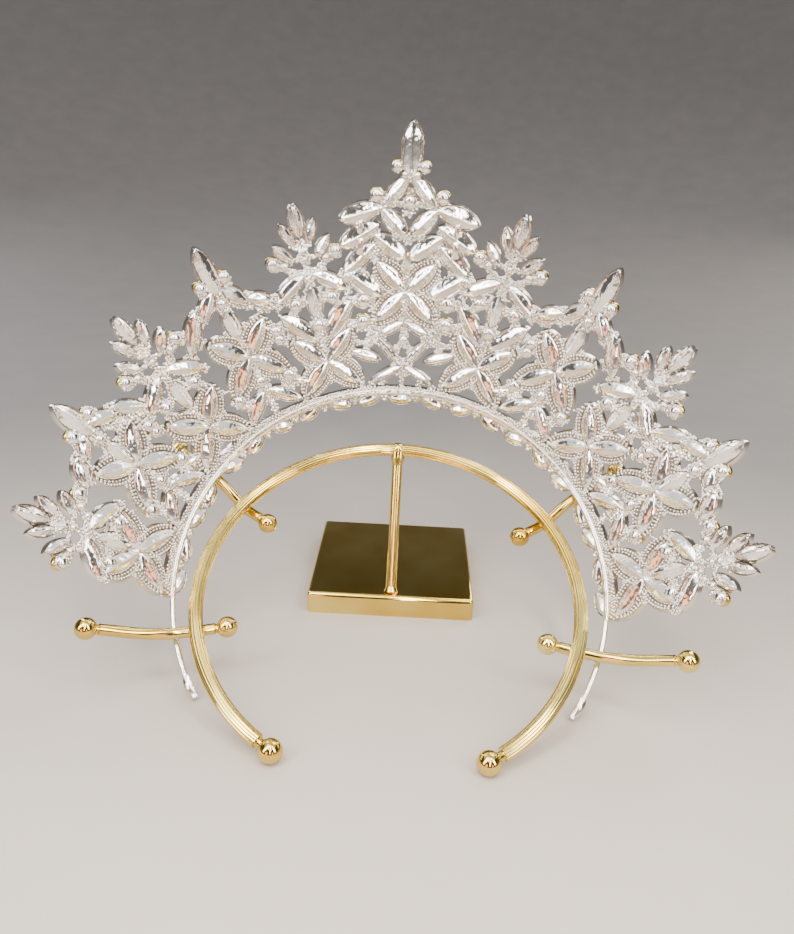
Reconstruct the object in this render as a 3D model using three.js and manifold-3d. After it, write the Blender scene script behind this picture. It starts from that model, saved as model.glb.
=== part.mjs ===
// Crystal crown on its display stand, in millimetres, +Z up, the crown's front facing +Y.
// The lace is a flared cone: every cup is laid out flat as (across, up) and wrapped onto it.
import * as THREE from "three";
import Module from "manifold-3d";

const wasm = await Module();
wasm.setup();

// Headband and cone
const headband_radius = 73.8;
const headband_lean_deg = 43.5;
const headband_center_y = 238.6;
const headband_center_z = 30.4;
const flare_deg = 40;
const unrolled_radius = 100;
const wire_radius = 0.95;
const wire_end_deg = 125.2;
const band_end_deg = 98;
const band_high = 4.4;
const band_back = -0.25;
const band_front = 1.55;
const wire_steps = 6;
const wire_sides = 8;

// Wire ends, flattened into short combs
const comb_length_deg = 7;
const comb_half_width = 1.7;
const comb_half_thickness = 0.7;

// Heights of a cup through its thickness, back to front
const cup_back = -1.5;
const plate_back = 0;
const plate_front = 1.6;
const stone_table = 2.7;
const table_share = 0.58;
const own_stone_gap = 0.3;
const own_stone_share = 0.86;
const bead_front = 3.6;
const round_sides = 10;
const arm_width = 1.6;

// Places of the points along the headband, from the middle outwards
const column_turns_deg = [19.4, 36.8, 54.1, 71.4, 88.7];
const sprig_flower_up = 15;
const spire_flower_up = 27;
const petal_length = 15.4;
const petal_width = 9.6;

// Scalloped fringe along the band's front lower edge
const fringe_count_each_side = 11;
const fringe_drop_low = -3.3;
const fringe_gap_low = -1.8;
const fringe_drop_front = 3.1;
const fringe_gap_front = 2.2;

// Stand
const ring_radius = 64;
const ring_lean_deg = 27.5;
const ring_center_y = 232.5;
const ring_center_z = 29.2;
const ring_tube_radius = 2.35;
const ring_end_deg = 145.8;
const ring_sides = 10;
const ring_steps = 28;
const finial_radius = 3.75;
const finial_neck_radius = 1.5;
const post_radius = 1.65;
const post_foot_y = 267.5;
const base_width = 64;
const base_depth = 64;
const base_height = 8.5;
const base_front_y = 263;
const base_bevel = 0.8;
const peg_radius = 1.85;
const peg_sides = 10;
const peg_steps = 6;
const peg_inner = 58.6;
const peg_outer = 92.6;
const peg_ball_radius = 3.5;
const seat_gap = 0.3;

const silver = new THREE.MeshStandardMaterial({ color: 0xe8e6e1, metalness: 1, roughness: 0.2 });
const gold = new THREE.MeshStandardMaterial({ color: 0xe3c36a, metalness: 1, roughness: 0.2 });
const crystal = new THREE.MeshStandardMaterial({ color: 0xf4f7ff, roughness: 0.05 });

const rad = (deg) => (deg * Math.PI) / 180;
const point = (x, y, z) => new THREE.Vector3(x, y, z);

// A closed body from points and triangles, turned to face outwards.
function closed(points, tris) {
  let volume = 0;
  for (const [a, b, c] of tris) {
    volume += points[a].dot(new THREE.Vector3().crossVectors(points[b], points[c]));
  }
  const order = volume < 0 ? tris.map(([a, b, c]) => [a, c, b]) : tris;
  const vertProperties = new Float32Array(points.flatMap((p) => [p.x, p.y, p.z]));
  const triVerts = new Uint32Array(order.flat());
  return new wasm.Manifold(new wasm.Mesh({ numProp: 3, vertProperties, triVerts }));
}

// A skin over rings of points, each end closed by a given point or by a flat fan.
function skin(rings, first, last) {
  const count = rings[0].length;
  const points = rings.flat();
  const tris = [];
  for (let r = 0; r + 1 < rings.length; r++) {
    for (let i = 0; i < count; i++) {
      const a = r * count + i;
      const b = r * count + ((i + 1) % count);
      tris.push([a, b, b + count], [a, b + count, a + count]);
    }
  }
  const cap = (start, apex, forward) => {
    if (apex) {
      points.push(apex);
      const top = points.length - 1;
      for (let i = 0; i < count; i++) {
        const a = start + i;
        const b = start + ((i + 1) % count);
        tris.push(forward ? [a, b, top] : [b, a, top]);
      }
      return;
    }
    for (let i = 1; i + 1 < count; i++) {
      const [b, c] = [start + i, start + i + 1];
      tris.push(forward ? [start, b, c] : [start, c, b]);
    }
  };
  cap(0, first, false);
  cap((rings.length - 1) * count, last, true);
  return closed(points, tris);
}

// Joins bodies two by two, so that the list stays quick to fuse.
function fuse(bodies) {
  let list = bodies;
  while (list.length > 1) {
    const next = [];
    for (let i = 0; i < list.length; i += 2) {
      next.push(i + 1 < list.length ? list[i].add(list[i + 1]) : list[i]);
    }
    list = next;
  }
  return list[0];
}

// Frame of the headband: across, up along its plane, and out of its plane.
const lean = rad(headband_lean_deg);
const flare = rad(flare_deg);
const plane_up = point(0, Math.cos(lean), Math.sin(lean));
const plane_out = point(0, -Math.sin(lean), Math.cos(lean));
const headband_center = point(0, headband_center_y, headband_center_z);

// A point of the cone: turn in degrees, up the slant, and height towards the front.
function onCone(turn_deg, up, height) {
  const turn = rad(turn_deg);
  const radial = point(Math.sin(turn), 0, 0).addScaledVector(plane_up, Math.cos(turn));
  const reach = headband_radius + up * Math.sin(flare) + height * Math.cos(flare);
  return headband_center
    .clone()
    .addScaledVector(radial, reach)
    .addScaledVector(plane_out, up * Math.cos(flare) - height * Math.sin(flare));
}

// A column's own sheet, on the cone unrolled flat: across is positive towards the crown's middle.
const flat_per_deg = rad(unrolled_radius);
function column(side, turn_deg) {
  return (across, up, height) => {
    const reach = headband_radius + up * Math.sin(flare);
    const offset = ((across / reach) * 180) / Math.PI;
    return point(side * (turn_deg - offset) * flat_per_deg, up, height);
  };
}

// A body on the unrolled sheet, wrapped onto the cone.
function wrapped(body) {
  const flat = body.getMesh();
  const vertProperties = new Float32Array(flat.numVert * 3);
  for (let i = 0; i < flat.numVert; i++) {
    const at = i * flat.numProp;
    const [x, up, height] = flat.vertProperties.subarray(at, at + 3);
    const p = onCone(x / flat_per_deg, up, height);
    vertProperties.set([p.x, p.y, p.z], i * 3);
  }
  const mesh = new wasm.Mesh({ numProp: 3, vertProperties, triVerts: flat.triVerts });
  const made = new wasm.Manifold(mesh);
  if (made.volume() > 0) return made;
  const triVerts = new Uint32Array(flat.triVerts);
  for (let i = 0; i < triVerts.length; i += 3) {
    [triVerts[i + 1], triVerts[i + 2]] = [triVerts[i + 2], triVerts[i + 1]];
  }
  return new wasm.Manifold(new wasm.Mesh({ numProp: 3, vertProperties, triVerts }));
}

// Outline of a marquise between two tips, scaled about its middle.
const full_outline = [
  [0, 0],
  [0.18, 0.6],
  [0.5, 1],
  [0.82, 0.6],
  [1, 0],
  [0.82, -0.6],
  [0.5, -1],
  [0.18, -0.6],
];
const small_outline = [
  [0, 0],
  [0.3, 0.86],
  [0.7, 0.86],
  [1, 0],
  [0.7, -0.86],
  [0.3, -0.86],
];
function marquiseRing(sheet, m, outline, share, height) {
  const length = Math.hypot(m.toAcross - m.across, m.toUp - m.up);
  const [ax, ay] = [(m.toAcross - m.across) / length, (m.toUp - m.up) / length];
  return outline.map(([t, w]) => {
    const along = (0.5 + (t - 0.5) * share) * length;
    const wide = (w * share * m.width) / 2;
    return sheet(m.across + ax * along - ay * wide, m.up + ay * along + ax * wide, height);
  });
}

// A cup with a ridged back and a cut stone fused in its front.
function marquise(sheet, m, outline = small_outline) {
  const middle = [(m.across + m.toAcross) / 2, (m.up + m.toUp) / 2];
  const rings = [
    marquiseRing(sheet, m, outline, 1, plate_back),
    marquiseRing(sheet, m, outline, 1, plate_front),
    marquiseRing(sheet, m, outline, table_share, stone_table),
  ];
  return skin(rings, sheet(middle[0], middle[1], cup_back), null);
}

// A cup left open for a stone of its own, and that stone.
function emptyCup(sheet, m) {
  const middle = [(m.across + m.toAcross) / 2, (m.up + m.toUp) / 2];
  const rings = [
    marquiseRing(sheet, m, full_outline, 1, plate_back),
    marquiseRing(sheet, m, full_outline, 1, plate_front),
  ];
  return skin(rings, sheet(middle[0], middle[1], cup_back), null);
}
function ownStone(sheet, m) {
  const middle = [(m.across + m.toAcross) / 2, (m.up + m.toUp) / 2];
  const seat = plate_front + own_stone_gap;
  const rings = [
    marquiseRing(sheet, m, full_outline, own_stone_share, seat),
    marquiseRing(sheet, m, full_outline, own_stone_share, seat + 0.5),
    marquiseRing(sheet, m, full_outline, table_share * own_stone_share, seat + 1.5),
  ];
  return skin(rings, sheet(middle[0], middle[1], seat), null);
}

// A leaf cup, too small for a table: pointed behind and in front.
function leafCup(sheet, m) {
  const middle = [(m.across + m.toAcross) / 2, (m.up + m.toUp) / 2];
  const rings = [
    marquiseRing(sheet, m, small_outline, 1, plate_back),
    marquiseRing(sheet, m, small_outline, 1, plate_front),
  ];
  const [back, front] = [cup_back, stone_table].map((h) => sheet(middle[0], middle[1], h));
  return skin(rings, back, front);
}

// A round cup with a bead in its front.
function roundRing(sheet, across, up, radius, height) {
  return Array.from({ length: round_sides }, (_, i) => {
    const a = (2 * Math.PI * i) / round_sides + 0.1;
    return sheet(across + radius * Math.cos(a), up + radius * Math.sin(a), height);
  });
}
function roundCup(sheet, across, up, radius) {
  const rings = [
    roundRing(sheet, across, up, radius, plate_back),
    roundRing(sheet, across, up, radius, plate_front),
  ];
  const back = sheet(across, up, cup_back);
  return skin(rings, back, sheet(across, up, bead_front));
}
// A flat bar of the casting between two points.
function bar(sheet, across, up, toAcross, toUp, width) {
  const length = Math.hypot(toAcross - across, toUp - up);
  const nx = (-(toUp - up) / length) * (width / 2);
  const ny = ((toAcross - across) / length) * (width / 2);
  const ring = (h) => [
    sheet(across + nx, up + ny, h),
    sheet(toAcross + nx, toUp + ny, h),
    sheet(toAcross - nx, toUp - ny, h),
    sheet(across - nx, up - ny, h),
  ];
  return skin([ring(plate_back), ring(plate_front)], null, null);
}

// Flat arms that meet at one hub, as a single plate: ends are listed round the hub.
function spider(sheet, hub_up, ends, width) {
  const arms = ends.map(([across, up]) => {
    const reach = Math.hypot(across, up);
    return { across, up, ax: across / reach, ay: up / reach };
  });
  const outline = arms.flatMap((arm, i) => {
    const next = arms[(i + 1) % arms.length];
    const [nx, ny] = [(-arm.ay * width) / 2, (arm.ax * width) / 2];
    const turn = Math.atan2(arm.ax * next.ay - arm.ay * next.ax, arm.ax * next.ax + arm.ay * next.ay);
    const full = turn > 0 ? turn : turn + 2 * Math.PI;
    const depth = width / 2 / Math.tan(full / 2);
    return [
      new THREE.Vector2(arm.across - nx, arm.up - ny),
      new THREE.Vector2(arm.across + nx, arm.up + ny),
      new THREE.Vector2(arm.ax * depth + nx, arm.ay * depth + ny),
    ];
  });
  const faces = THREE.ShapeUtils.triangulateShape(outline, []);
  const count = outline.length;
  const level = (height) => outline.map((p) => sheet(p.x, hub_up + p.y, height));
  const tris = faces.flatMap(([a, b, c]) => [
    [c, b, a],
    [a + count, b + count, c + count],
  ]);
  for (let i = 0; i < count; i++) {
    const j = (i + 1) % count;
    tris.push([i, j, j + count], [i, j + count, i + count]);
  }
  return closed([...level(plate_back), ...level(plate_front)], tris);
}

// Rows of a table placed on a sheet, each mirrored across the column when it is off the middle.
const row = (across, up, toAcross, toUp, width) => ({ across, up, toAcross, toUp, width });
const hands = (m) => (Math.abs(m.across) + Math.abs(m.toAcross ?? 0) < 0.5 ? [1] : [1, -1]);
function eachHand(rows, make) {
  return rows.flatMap((m) =>
    hands(m).map((hand) =>
      make({ ...m, across: hand * m.across, toAcross: hand * (m.toAcross ?? 0) }),
    ),
  );
}
const raised = (rows, up) =>
  rows.map((m) => ({ ...m, up: m.up + up, toUp: (m.toUp ?? 0) + up }));

function flower(sheet, up) {
  const reach = petal_length * Math.SQRT1_2;
  const petals = [
    [1, 1],
    [-1, 1],
    [-1, -1],
    [1, -1],
  ].map(([a, b]) =>
    leafCup(sheet, row(-0.5 * a, up - 0.5 * b, reach * a, up + reach * b, petal_width)),
  );
  return petals;
}

// Sprig: five leaves over a hub, two beads on stems, three marquises below. Heights from the hub.
const sprig_leaves = [
  row(0, 11, 0.3, 22, 4.8),
  row(3, 8.6, 5.9, 16.8, 3.9),
  row(4.6, 4.3, 9.8, 11.2, 3.9),
];
const sprig_marquises = [row(0.5, 1.4, 12.8, -7.4, 5.6), row(0, 0, 0, -16.2, 6.2)];
const sprig_rounds = [
  { across: 11.2, up: 5.2, radius: 2.1 },
  { across: 6.6, up: -10.3, radius: 2.5 },
];
const sprig_arms = [
  [11.2, 5.2],
  [5.6, 6.2],
  [3.9, 10.6],
  [0, 13],
  [-3.9, 10.6],
  [-5.6, 6.2],
  [-11.2, 5.2],
];
const sprig_bars = [row(0, -9.2, 6.6, -10.3, 1.5)];
const tall_sprig_marquises = [row(1.5, -26, 12.8, -13.6, 6)];
const tall_sprig_rounds = [{ across: 0, up: -19.2, radius: 2.3 }];

// Spire: one tall marquise over two beads, marquises down each side. Heights from its foot.
const spire_marquises = [
  row(0.5, -0.2, 9.2, -7.8, 5.2),
  row(8.6, -6, 17.6, -13.4, 5.4),
  row(0, -8, 0, -20.8, 5.6),
];
const spire_rounds = [
  { across: 4.8, up: 2.1, radius: 2.1 },
  { across: 0, up: -5.6, radius: 2.4 },
];
const spire_arms = [
  [4.8, 2.4],
  [-4.8, 2.4],
  [0, -10],
];

// Foot of a spire on the band. Heights from the headband.
const foot_marquises = [row(0.9, 13.2, 10.6, 4.6, 5)];
const foot_rounds = [
  { across: 0, up: 16.8, radius: 2.2 },
  { across: 10.4, up: 14.6, radius: 2.5 },
];
const foot_bars = [row(0, 23, 0, 3.4, 1.6), row(10.4, 14.6, 6.4, 8.6, 1.5)];

// Middle column. Heights from the headband; the first table's cups hold stones of their own.
const middle_main = [
  row(0, 79.4, 0, 94.6, 6.8),
  row(0.4, 77, 8.9, 69.2, 5.6),
  row(0.8, 58, 9.6, 66.9, 5.8),
  row(9.6, 67.3, 24, 64.4, 7),
  row(10.6, 61.6, 23.8, 55.2, 6.8),
  row(0.5, 50, 12, 58.4, 6.2),
];
const middle_marquises = [
  row(11.6, 55, 22.3, 46, 6.2),
  row(8.4, 36.8, 21, 45.9, 6.2),
  row(0.3, 27.2, 9.9, 22, 5),
  row(0.5, 11, 8.9, 20.6, 5.4),
  row(0.5, 10.4, 11.2, 4, 5),
  row(8, 12.8, 19, 17.2, 5),
];
const middle_rounds = [
  { across: 5.2, up: 81.6, radius: 2.1 },
  { across: 2.4, up: 78.3, radius: 1.5 },
  { across: 12, up: 71.9, radius: 2.5 },
  { across: 0, up: 68.8, radius: 3 },
  { across: 21.4, up: 44.4, radius: 1.9 },
  { across: 15.1, up: 35, radius: 2.8 },
  { across: 15.2, up: 27.5, radius: 2.6 },
  { across: 0, up: 20.5, radius: 2.3 },
];
const middle_bars = [
  row(0, 81, 0, 76, 2),
  row(0, 79.6, 5.2, 81.6, 1.5),
  row(8.4, 69.6, 12, 71.9, 1.5),
  row(0, 68.8, 9.2, 68.2, 1.5),
  row(0, 68.8, 0, 74, 1.5),
  row(7.9, 68.8, 11.4, 66.6, 1.8),
  row(17, 62.5, 17.4, 60, 1.8),
  row(4.6, 55.6, 5, 61, 1.5),
  row(10.8, 60.6, 11.4, 58.4, 1.6),
  row(0.2, 52, 0.2, 39, 2.2),
  row(9.4, 51.4, 12.6, 54, 1.5),
  row(11, 36, 15.1, 35, 1.8),
  row(15.1, 35, 21, 36.4, 1.6),
  row(15.2, 33, 15.2, 27.5, 1.6),
  row(10.6, 27.6, 15.2, 27.5, 1.6),
  row(15.2, 27.5, 20.4, 26.6, 1.6),
  row(13.6, 26, 13.2, 15, 1.5),
  row(0, 38, 0, 26, 1.8),
  row(0, 26, 0, 10, 1.5),
  row(8.6, 20, 9.6, 22.4, 1.5),
  row(9.4, 22.2, 15.2, 26.4, 1.5),
  row(0, 11, 0, 3.4, 1.6),
];

// Straps that tie each column to the next one towards the middle, heights from the headband.
const sprig_straps = [row(-14.6, 12.2, -8, 9.4, 2)];
const spire_straps = [row(9.6, 34.6, 13, 31.6, 1.6)];

const nodes = [];
const add = (name, body, material) => nodes.push({ name, body, material });
const lace = [];
const stones = [];
const cups = (sheet, rows) => eachHand(rows, (m) => marquise(sheet, m));
const leaves = (sheet, rows) => eachHand(rows, (m) => leafCup(sheet, m));
const rounds = (sheet, rows) =>
  eachHand(rows, (m) => roundCup(sheet, m.across, m.up, m.radius));
const bars = (sheet, rows) =>
  eachHand(rows, (m) => bar(sheet, m.across, m.up, m.toAcross, m.toUp, m.width));

// Side columns: sprigs at the odd places, spires at the even ones.
const sprig_hubs = { 0: 49.3, 2: 42, 4: 35.8 };
const spire_feet = { 1: 54.2, 3: 48.3 };
const spire_lengths = { 1: 14.4, 3: 12.2 };
for (const side of [-1, 1]) {
  const hand = side < 0 ? "left" : "right";
  column_turns_deg.forEach((turn, place) => {
    const sheet = column(side, turn);
    if (place % 2 === 0) {
      const hub = sprig_hubs[place];
      lace.push(...flower(sheet, sprig_flower_up));
      lace.push(...leaves(sheet, raised(sprig_leaves, hub)));
      lace.push(...leaves(sheet, raised(sprig_marquises, hub)));
      lace.push(...rounds(sheet, raised(sprig_rounds, hub)));
      lace.push(spider(sheet, hub, sprig_arms, arm_width));
      lace.push(...bars(sheet, raised(sprig_bars, hub)));
      if (place < 4) lace.push(bar(sheet, 0, hub - 13, 0, sprig_flower_up + 4, 1.6));
      if (place === 0) {
        lace.push(...cups(sheet, raised(tall_sprig_marquises, hub)));
        lace.push(...rounds(sheet, raised(tall_sprig_rounds, hub)));
      }
      sprig_straps.forEach((m) =>
        lace.push(bar(sheet, m.across, m.up, m.toAcross, m.toUp, m.width)),
      );
      return;
    }
    const foot = spire_feet[place];
    const spire = row(0, foot - 0.6, 0, foot + spire_lengths[place], 6.8);
    lace.push(...flower(sheet, spire_flower_up));
    lace.push(emptyCup(sheet, spire));
    stones.push([`stone_spire_${hand}_${place === 1 ? "inner" : "outer"}`, ownStone(sheet, spire)]);
    lace.push(...leaves(sheet, raised(spire_marquises, foot)));
    lace.push(...rounds(sheet, raised(spire_rounds, foot)));
    lace.push(spider(sheet, foot, spire_arms, arm_width));
    if (place === 1) lace.push(bar(sheet, 0, foot - 18, 0, spire_flower_up + 4, 1.6));
    lace.push(...leaves(sheet, foot_marquises));
    lace.push(...rounds(sheet, foot_rounds));
    lace.push(...bars(sheet, foot_bars));
    lace.push(roundCup(sheet, 13, 31.4, 2.1), roundCup(sheet, 12.7, 28.1, 2.1));
    spire_straps.forEach((m) =>
      lace.push(bar(sheet, m.across, m.up, m.toAcross, m.toUp, m.width)),
    );
  });
}

// Middle column.
const middle = column(1, 0);
const main_names = ["spire", "peak", "heart", "wing", "low_wing", "chin"];
middle_main.forEach((m, i) =>
  eachHand([m], (n) => {
    lace.push(emptyCup(middle, n));
    const hand = hands(m).length === 1 ? "middle" : n.toAcross > 0 ? "left" : "right";
    stones.push([`stone_${main_names[i]}_${hand}`, ownStone(middle, n)]);
  }),
);
const middle_flower_up = 38.2;
lace.push(...flower(middle, middle_flower_up));
lace.push(...cups(middle, middle_marquises));
lace.push(...rounds(middle, middle_rounds));
lace.push(...bars(middle, middle_bars));

// Band, wire and combs, swept round the headband.
const sweep = (from_deg, to_deg, steps, profile) =>
  Array.from({ length: steps + 1 }, (_, i) => {
    const turn = from_deg + ((to_deg - from_deg) * i) / steps;
    return profile.map(([up, height]) => onCone(turn, up, height));
  });
const band_steps = 4 * fringe_count_each_side + 4;
const band_rings = Array.from({ length: band_steps + 1 }, (_, i) => {
  const turn = -band_end_deg + (2 * band_end_deg * i) / band_steps;
  const drop = i % 2 === 1;
  const low = drop ? fringe_drop_low : fringe_gap_low;
  const front = drop ? fringe_drop_front : fringe_gap_front;
  return [
    [band_high, band_back],
    [wire_radius, band_back],
    [0, -wire_radius],
    [-wire_radius - 0.1, 0],
    [low, 1.5],
    [1, front],
    [band_high, band_front],
  ].map(([up, height]) => onCone(turn, up, height));
});
const headband = [skin(band_rings, null, null)];
const wire_profile = Array.from({ length: wire_sides }, (_, i) => {
  const a = (2 * Math.PI * i) / wire_sides + 0.15;
  return [wire_radius * Math.cos(a), wire_radius * Math.sin(a)];
});
for (const side of [-1, 1]) {
  const wire = sweep(side * (band_end_deg - 1), side * wire_end_deg, wire_steps, wire_profile);
  headband.push(skin(wire, null, null));
}
for (const side of [-1, 1]) {
  const comb = (turn, share) =>
    [
      [-1, -1],
      [1, -1],
      [1, 1],
      [-1, 1],
    ].map(([a, b]) =>
      onCone(side * turn, share * comb_half_width * a, 0.2 + comb_half_thickness * b),
    );
  const start = wire_end_deg - comb_length_deg;
  headband.push(skin([comb(start, 0.5), comb(start + 2, 1), comb(wire_end_deg, 0.8)], null, null));
}

add("crown_lace", fuse([wrapped(fuse(lace)), fuse(headband)]), silver);
stones.forEach(([name, body]) => add(name, wrapped(body), crystal));

// Stand ring, an open circle that leans on two ball finials.
const ring_lean = rad(ring_lean_deg);
const ring_up = point(0, Math.cos(ring_lean), Math.sin(ring_lean));
const ring_out = point(0, -Math.sin(ring_lean), Math.cos(ring_lean));
const ring_center = point(0, ring_center_y, ring_center_z);
function onRing(turn_deg, reach, height) {
  const turn = rad(turn_deg);
  const radial = point(Math.sin(turn), 0, 0).addScaledVector(ring_up, Math.cos(turn));
  return ring_center.clone().addScaledVector(radial, reach).addScaledVector(ring_out, height);
}
const ring_profile = Array.from({ length: ring_sides }, (_, i) => {
  const a = (2 * Math.PI * i) / ring_sides;
  return [ring_radius + ring_tube_radius * Math.cos(a), ring_tube_radius * Math.sin(a)];
});
const ring_rings = Array.from({ length: ring_steps + 1 }, (_, i) => {
  const turn = -ring_end_deg + (2 * ring_end_deg * i) / ring_steps;
  return ring_profile.map(([reach, height]) => onRing(turn, reach, height));
});
add("stand_ring", skin(ring_rings, null, null), gold);

// A turned body: radius and place along an axis from a point, closed at both ends.
function turned(origin, axis, profile, sides, twist = 0) {
  const along = axis.clone().normalize();
  const seed = Math.abs(along.z) > 0.9 ? point(0, 1, 0) : point(0, 0, 1);
  const wide = new THREE.Vector3().crossVectors(seed, along).normalize();
  const high = new THREE.Vector3().crossVectors(along, wide);
  const at = (place) => origin.clone().addScaledVector(along, place);
  const rings = profile
    .filter(([, radius]) => radius > 0)
    .map(([place, radius]) =>
      Array.from({ length: sides }, (_, i) => {
        const a = (2 * Math.PI * i) / sides + twist;
        return at(place)
          .addScaledVector(wide, radius * Math.cos(a))
          .addScaledVector(high, radius * Math.sin(a));
      }),
    );
  const [start, end] = [profile[0], profile[profile.length - 1]];
  return skin(rings, start[1] === 0 ? at(start[0]) : null, end[1] === 0 ? at(end[0]) : null);
}

// A ball on a short neck, its neck's flat end at the origin.
function finial(origin, axis, radius, neck_radius, neck) {
  const foot = neck + radius - Math.sqrt(radius * radius - neck_radius * neck_radius);
  const arc = [-38, 2, 42].map((deg) => [
    neck + radius + radius * Math.sin(rad(deg)),
    radius * Math.cos(rad(deg)),
  ]);
  const profile = [[0, neck_radius], [foot, neck_radius], ...arc, [neck + 2 * radius, 0]];
  return turned(origin, axis, profile, 10);
}
for (const side of [-1, 1]) {
  const hand = side < 0 ? "left" : "right";
  const start = onRing(side * (ring_end_deg + 0.25), ring_radius, 0);
  const ahead = onRing(side * (ring_end_deg + 4), ring_radius, 0).sub(start);
  add(`ring_ball_${hand}`, finial(start, ahead, finial_radius, finial_neck_radius, 0.9), gold);
}

// Pegs: bent rods under the ring, a ball screwed on each end.
const peg_places = [
  { name: "upper", turn: 57.4, heights: [-5, -4.75, 2.3, 6.8] },
  { name: "lower", turn: 104.4, heights: [-4.7, -4.4, -2.4, 6.4] },
];
const peg_stops = [peg_inner, ring_radius, 75.8, peg_outer];
for (const { name, turn, heights } of peg_places) {
  for (const side of [-1, 1]) {
    const hand = side < 0 ? "left" : "right";
    const knots = peg_stops.map((reach, i) => onRing(side * turn, reach, heights[i]));
    const path = new THREE.CatmullRomCurve3(knots, false, "centripetal");
    const across = new THREE.Vector3()
      .crossVectors(onRing(side * turn, 1, 0).sub(ring_center), ring_out)
      .normalize();
    const rings = Array.from({ length: peg_steps + 1 }, (_, i) => {
      const center = path.getPoint(i / peg_steps);
      const normal = new THREE.Vector3().crossVectors(across, path.getTangent(i / peg_steps));
      return Array.from({ length: peg_sides }, (_, k) => {
        const a = (2 * Math.PI * k) / peg_sides;
        return center
          .clone()
          .addScaledVector(across, peg_radius * Math.cos(a))
          .addScaledVector(normal, peg_radius * Math.sin(a));
      });
    });
    add(`peg_${name}_${hand}`, skin(rings, null, null), gold);
    [
      ["inner", 0, -1],
      ["outer", 1, 1],
    ].forEach(([end, t, way]) => {
      const axis = path.getTangent(t).multiplyScalar(way);
      const start = path.getPoint(t).addScaledVector(axis, seat_gap);
      add(`peg_ball_${name}_${hand}_${end}`, finial(start, axis, peg_ball_radius, 1.5, 0.5), gold);
    });
  }
}

// Base block with a bevelled top, and the post that leans from it to the ring.
const base_ring = (z, inset) => [
  point(-base_width / 2 + inset, base_front_y + inset, z),
  point(base_width / 2 - inset, base_front_y + inset, z),
  point(base_width / 2 - inset, base_front_y + base_depth - inset, z),
  point(-base_width / 2 + inset, base_front_y + base_depth - inset, z),
];
const base_rings = [
  base_ring(0, 0),
  base_ring(base_height - base_bevel, 0),
  base_ring(base_height, base_bevel),
];
add("stand_base", skin(base_rings, null, null), gold);
const post_top = onRing(0, ring_radius, 0);
const post_foot = point(0, post_foot_y, base_height + seat_gap);
const post_axis = post_top.clone().sub(post_foot);
const post_length = post_axis.length() - ring_tube_radius - 1.8 * seat_gap;
const post_way = post_axis.clone().normalize();
const post_rings = [0, 0.5, 1].map((t) =>
  Array.from({ length: 12 }, (_, i) => {
    const a = (2 * Math.PI * i) / 12;
    const level = post_foot.clone().addScaledVector(post_way, post_length * t);
    const ring = level.add(point(post_radius * Math.cos(a), post_radius * Math.sin(a), 0));
    return ring;
  }),
);
add("stand_post", skin(post_rings, null, null), gold);

// The whole thing rests on Z = 0 with its box centred on the Z axis.
const root = new THREE.Group();
const limits = new THREE.Box3();
for (const { name, body, material } of nodes) {
  const made = body.getMesh();
  const positions = new Float32Array(made.numVert * 3);
  for (let i = 0; i < made.numVert; i++) {
    positions.set(made.vertProperties.subarray(i * made.numProp, i * made.numProp + 3), i * 3);
  }
  const geometry = new THREE.BufferGeometry();
  geometry.setAttribute("position", new THREE.BufferAttribute(positions, 3));
  geometry.setIndex(new THREE.BufferAttribute(new Uint32Array(made.triVerts), 1));
  geometry.computeVertexNormals();
  const mesh = new THREE.Mesh(geometry, material);
  mesh.name = name;
  root.add(mesh);
  geometry.computeBoundingBox();
  limits.union(geometry.boundingBox);
}
const shift_y = -(limits.min.y + limits.max.y) / 2;
const shift_x = -(limits.min.x + limits.max.x) / 2;
root.children.forEach((mesh) => mesh.geometry.translate(shift_x, shift_y, -limits.min.z));

export default root;
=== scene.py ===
import math

import bmesh
import bpy
from mathutils import Matrix, Vector
from mathutils.kdtree import KDTree


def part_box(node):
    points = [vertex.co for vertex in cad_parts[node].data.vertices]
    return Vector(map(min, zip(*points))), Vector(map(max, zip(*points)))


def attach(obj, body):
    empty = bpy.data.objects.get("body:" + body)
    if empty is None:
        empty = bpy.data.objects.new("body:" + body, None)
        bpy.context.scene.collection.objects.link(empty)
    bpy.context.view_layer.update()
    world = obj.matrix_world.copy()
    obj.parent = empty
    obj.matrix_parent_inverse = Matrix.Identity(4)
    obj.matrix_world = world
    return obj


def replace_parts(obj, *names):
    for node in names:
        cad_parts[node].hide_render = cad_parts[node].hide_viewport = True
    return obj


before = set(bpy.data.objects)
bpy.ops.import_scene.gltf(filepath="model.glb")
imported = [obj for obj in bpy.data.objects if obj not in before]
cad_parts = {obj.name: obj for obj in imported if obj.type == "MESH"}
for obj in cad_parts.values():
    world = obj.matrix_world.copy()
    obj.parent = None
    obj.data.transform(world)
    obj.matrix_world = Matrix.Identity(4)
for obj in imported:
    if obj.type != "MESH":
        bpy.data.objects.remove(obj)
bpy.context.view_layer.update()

# Stand base: a square iron block, milled flat, its upper and upright edges rounded.
# It stands on the table and carries the post. The block is plated in pale gold and polished.
MM = 0.001
base_low, base_high = (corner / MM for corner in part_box("stand_base"))
BASE_BEVEL = 1.6
BASE_BEVEL_STEPS = 4


def linear(hex_colour):
    """An sRGB hex colour as the linear colour that a shader takes."""
    parts = [int(hex_colour[i : i + 2], 16) / 255 for i in (1, 3, 5)]
    return tuple(c / 12.92 if c <= 0.04045 else ((c + 0.055) / 1.055) ** 2.4 for c in parts) + (1,)


def add_node(tree, kind, sockets=None, **settings):
    """A node with its settings; a socket takes a plain value or another node's output."""
    node = tree.nodes.new(kind)
    for name, value in settings.items():
        setattr(node, name, value)
    for name, value in (sockets or {}).items():
        if isinstance(value, bpy.types.NodeSocket):
            tree.links.new(value, node.inputs[name])
        else:
            node.inputs[name].default_value = value
    return node


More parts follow.
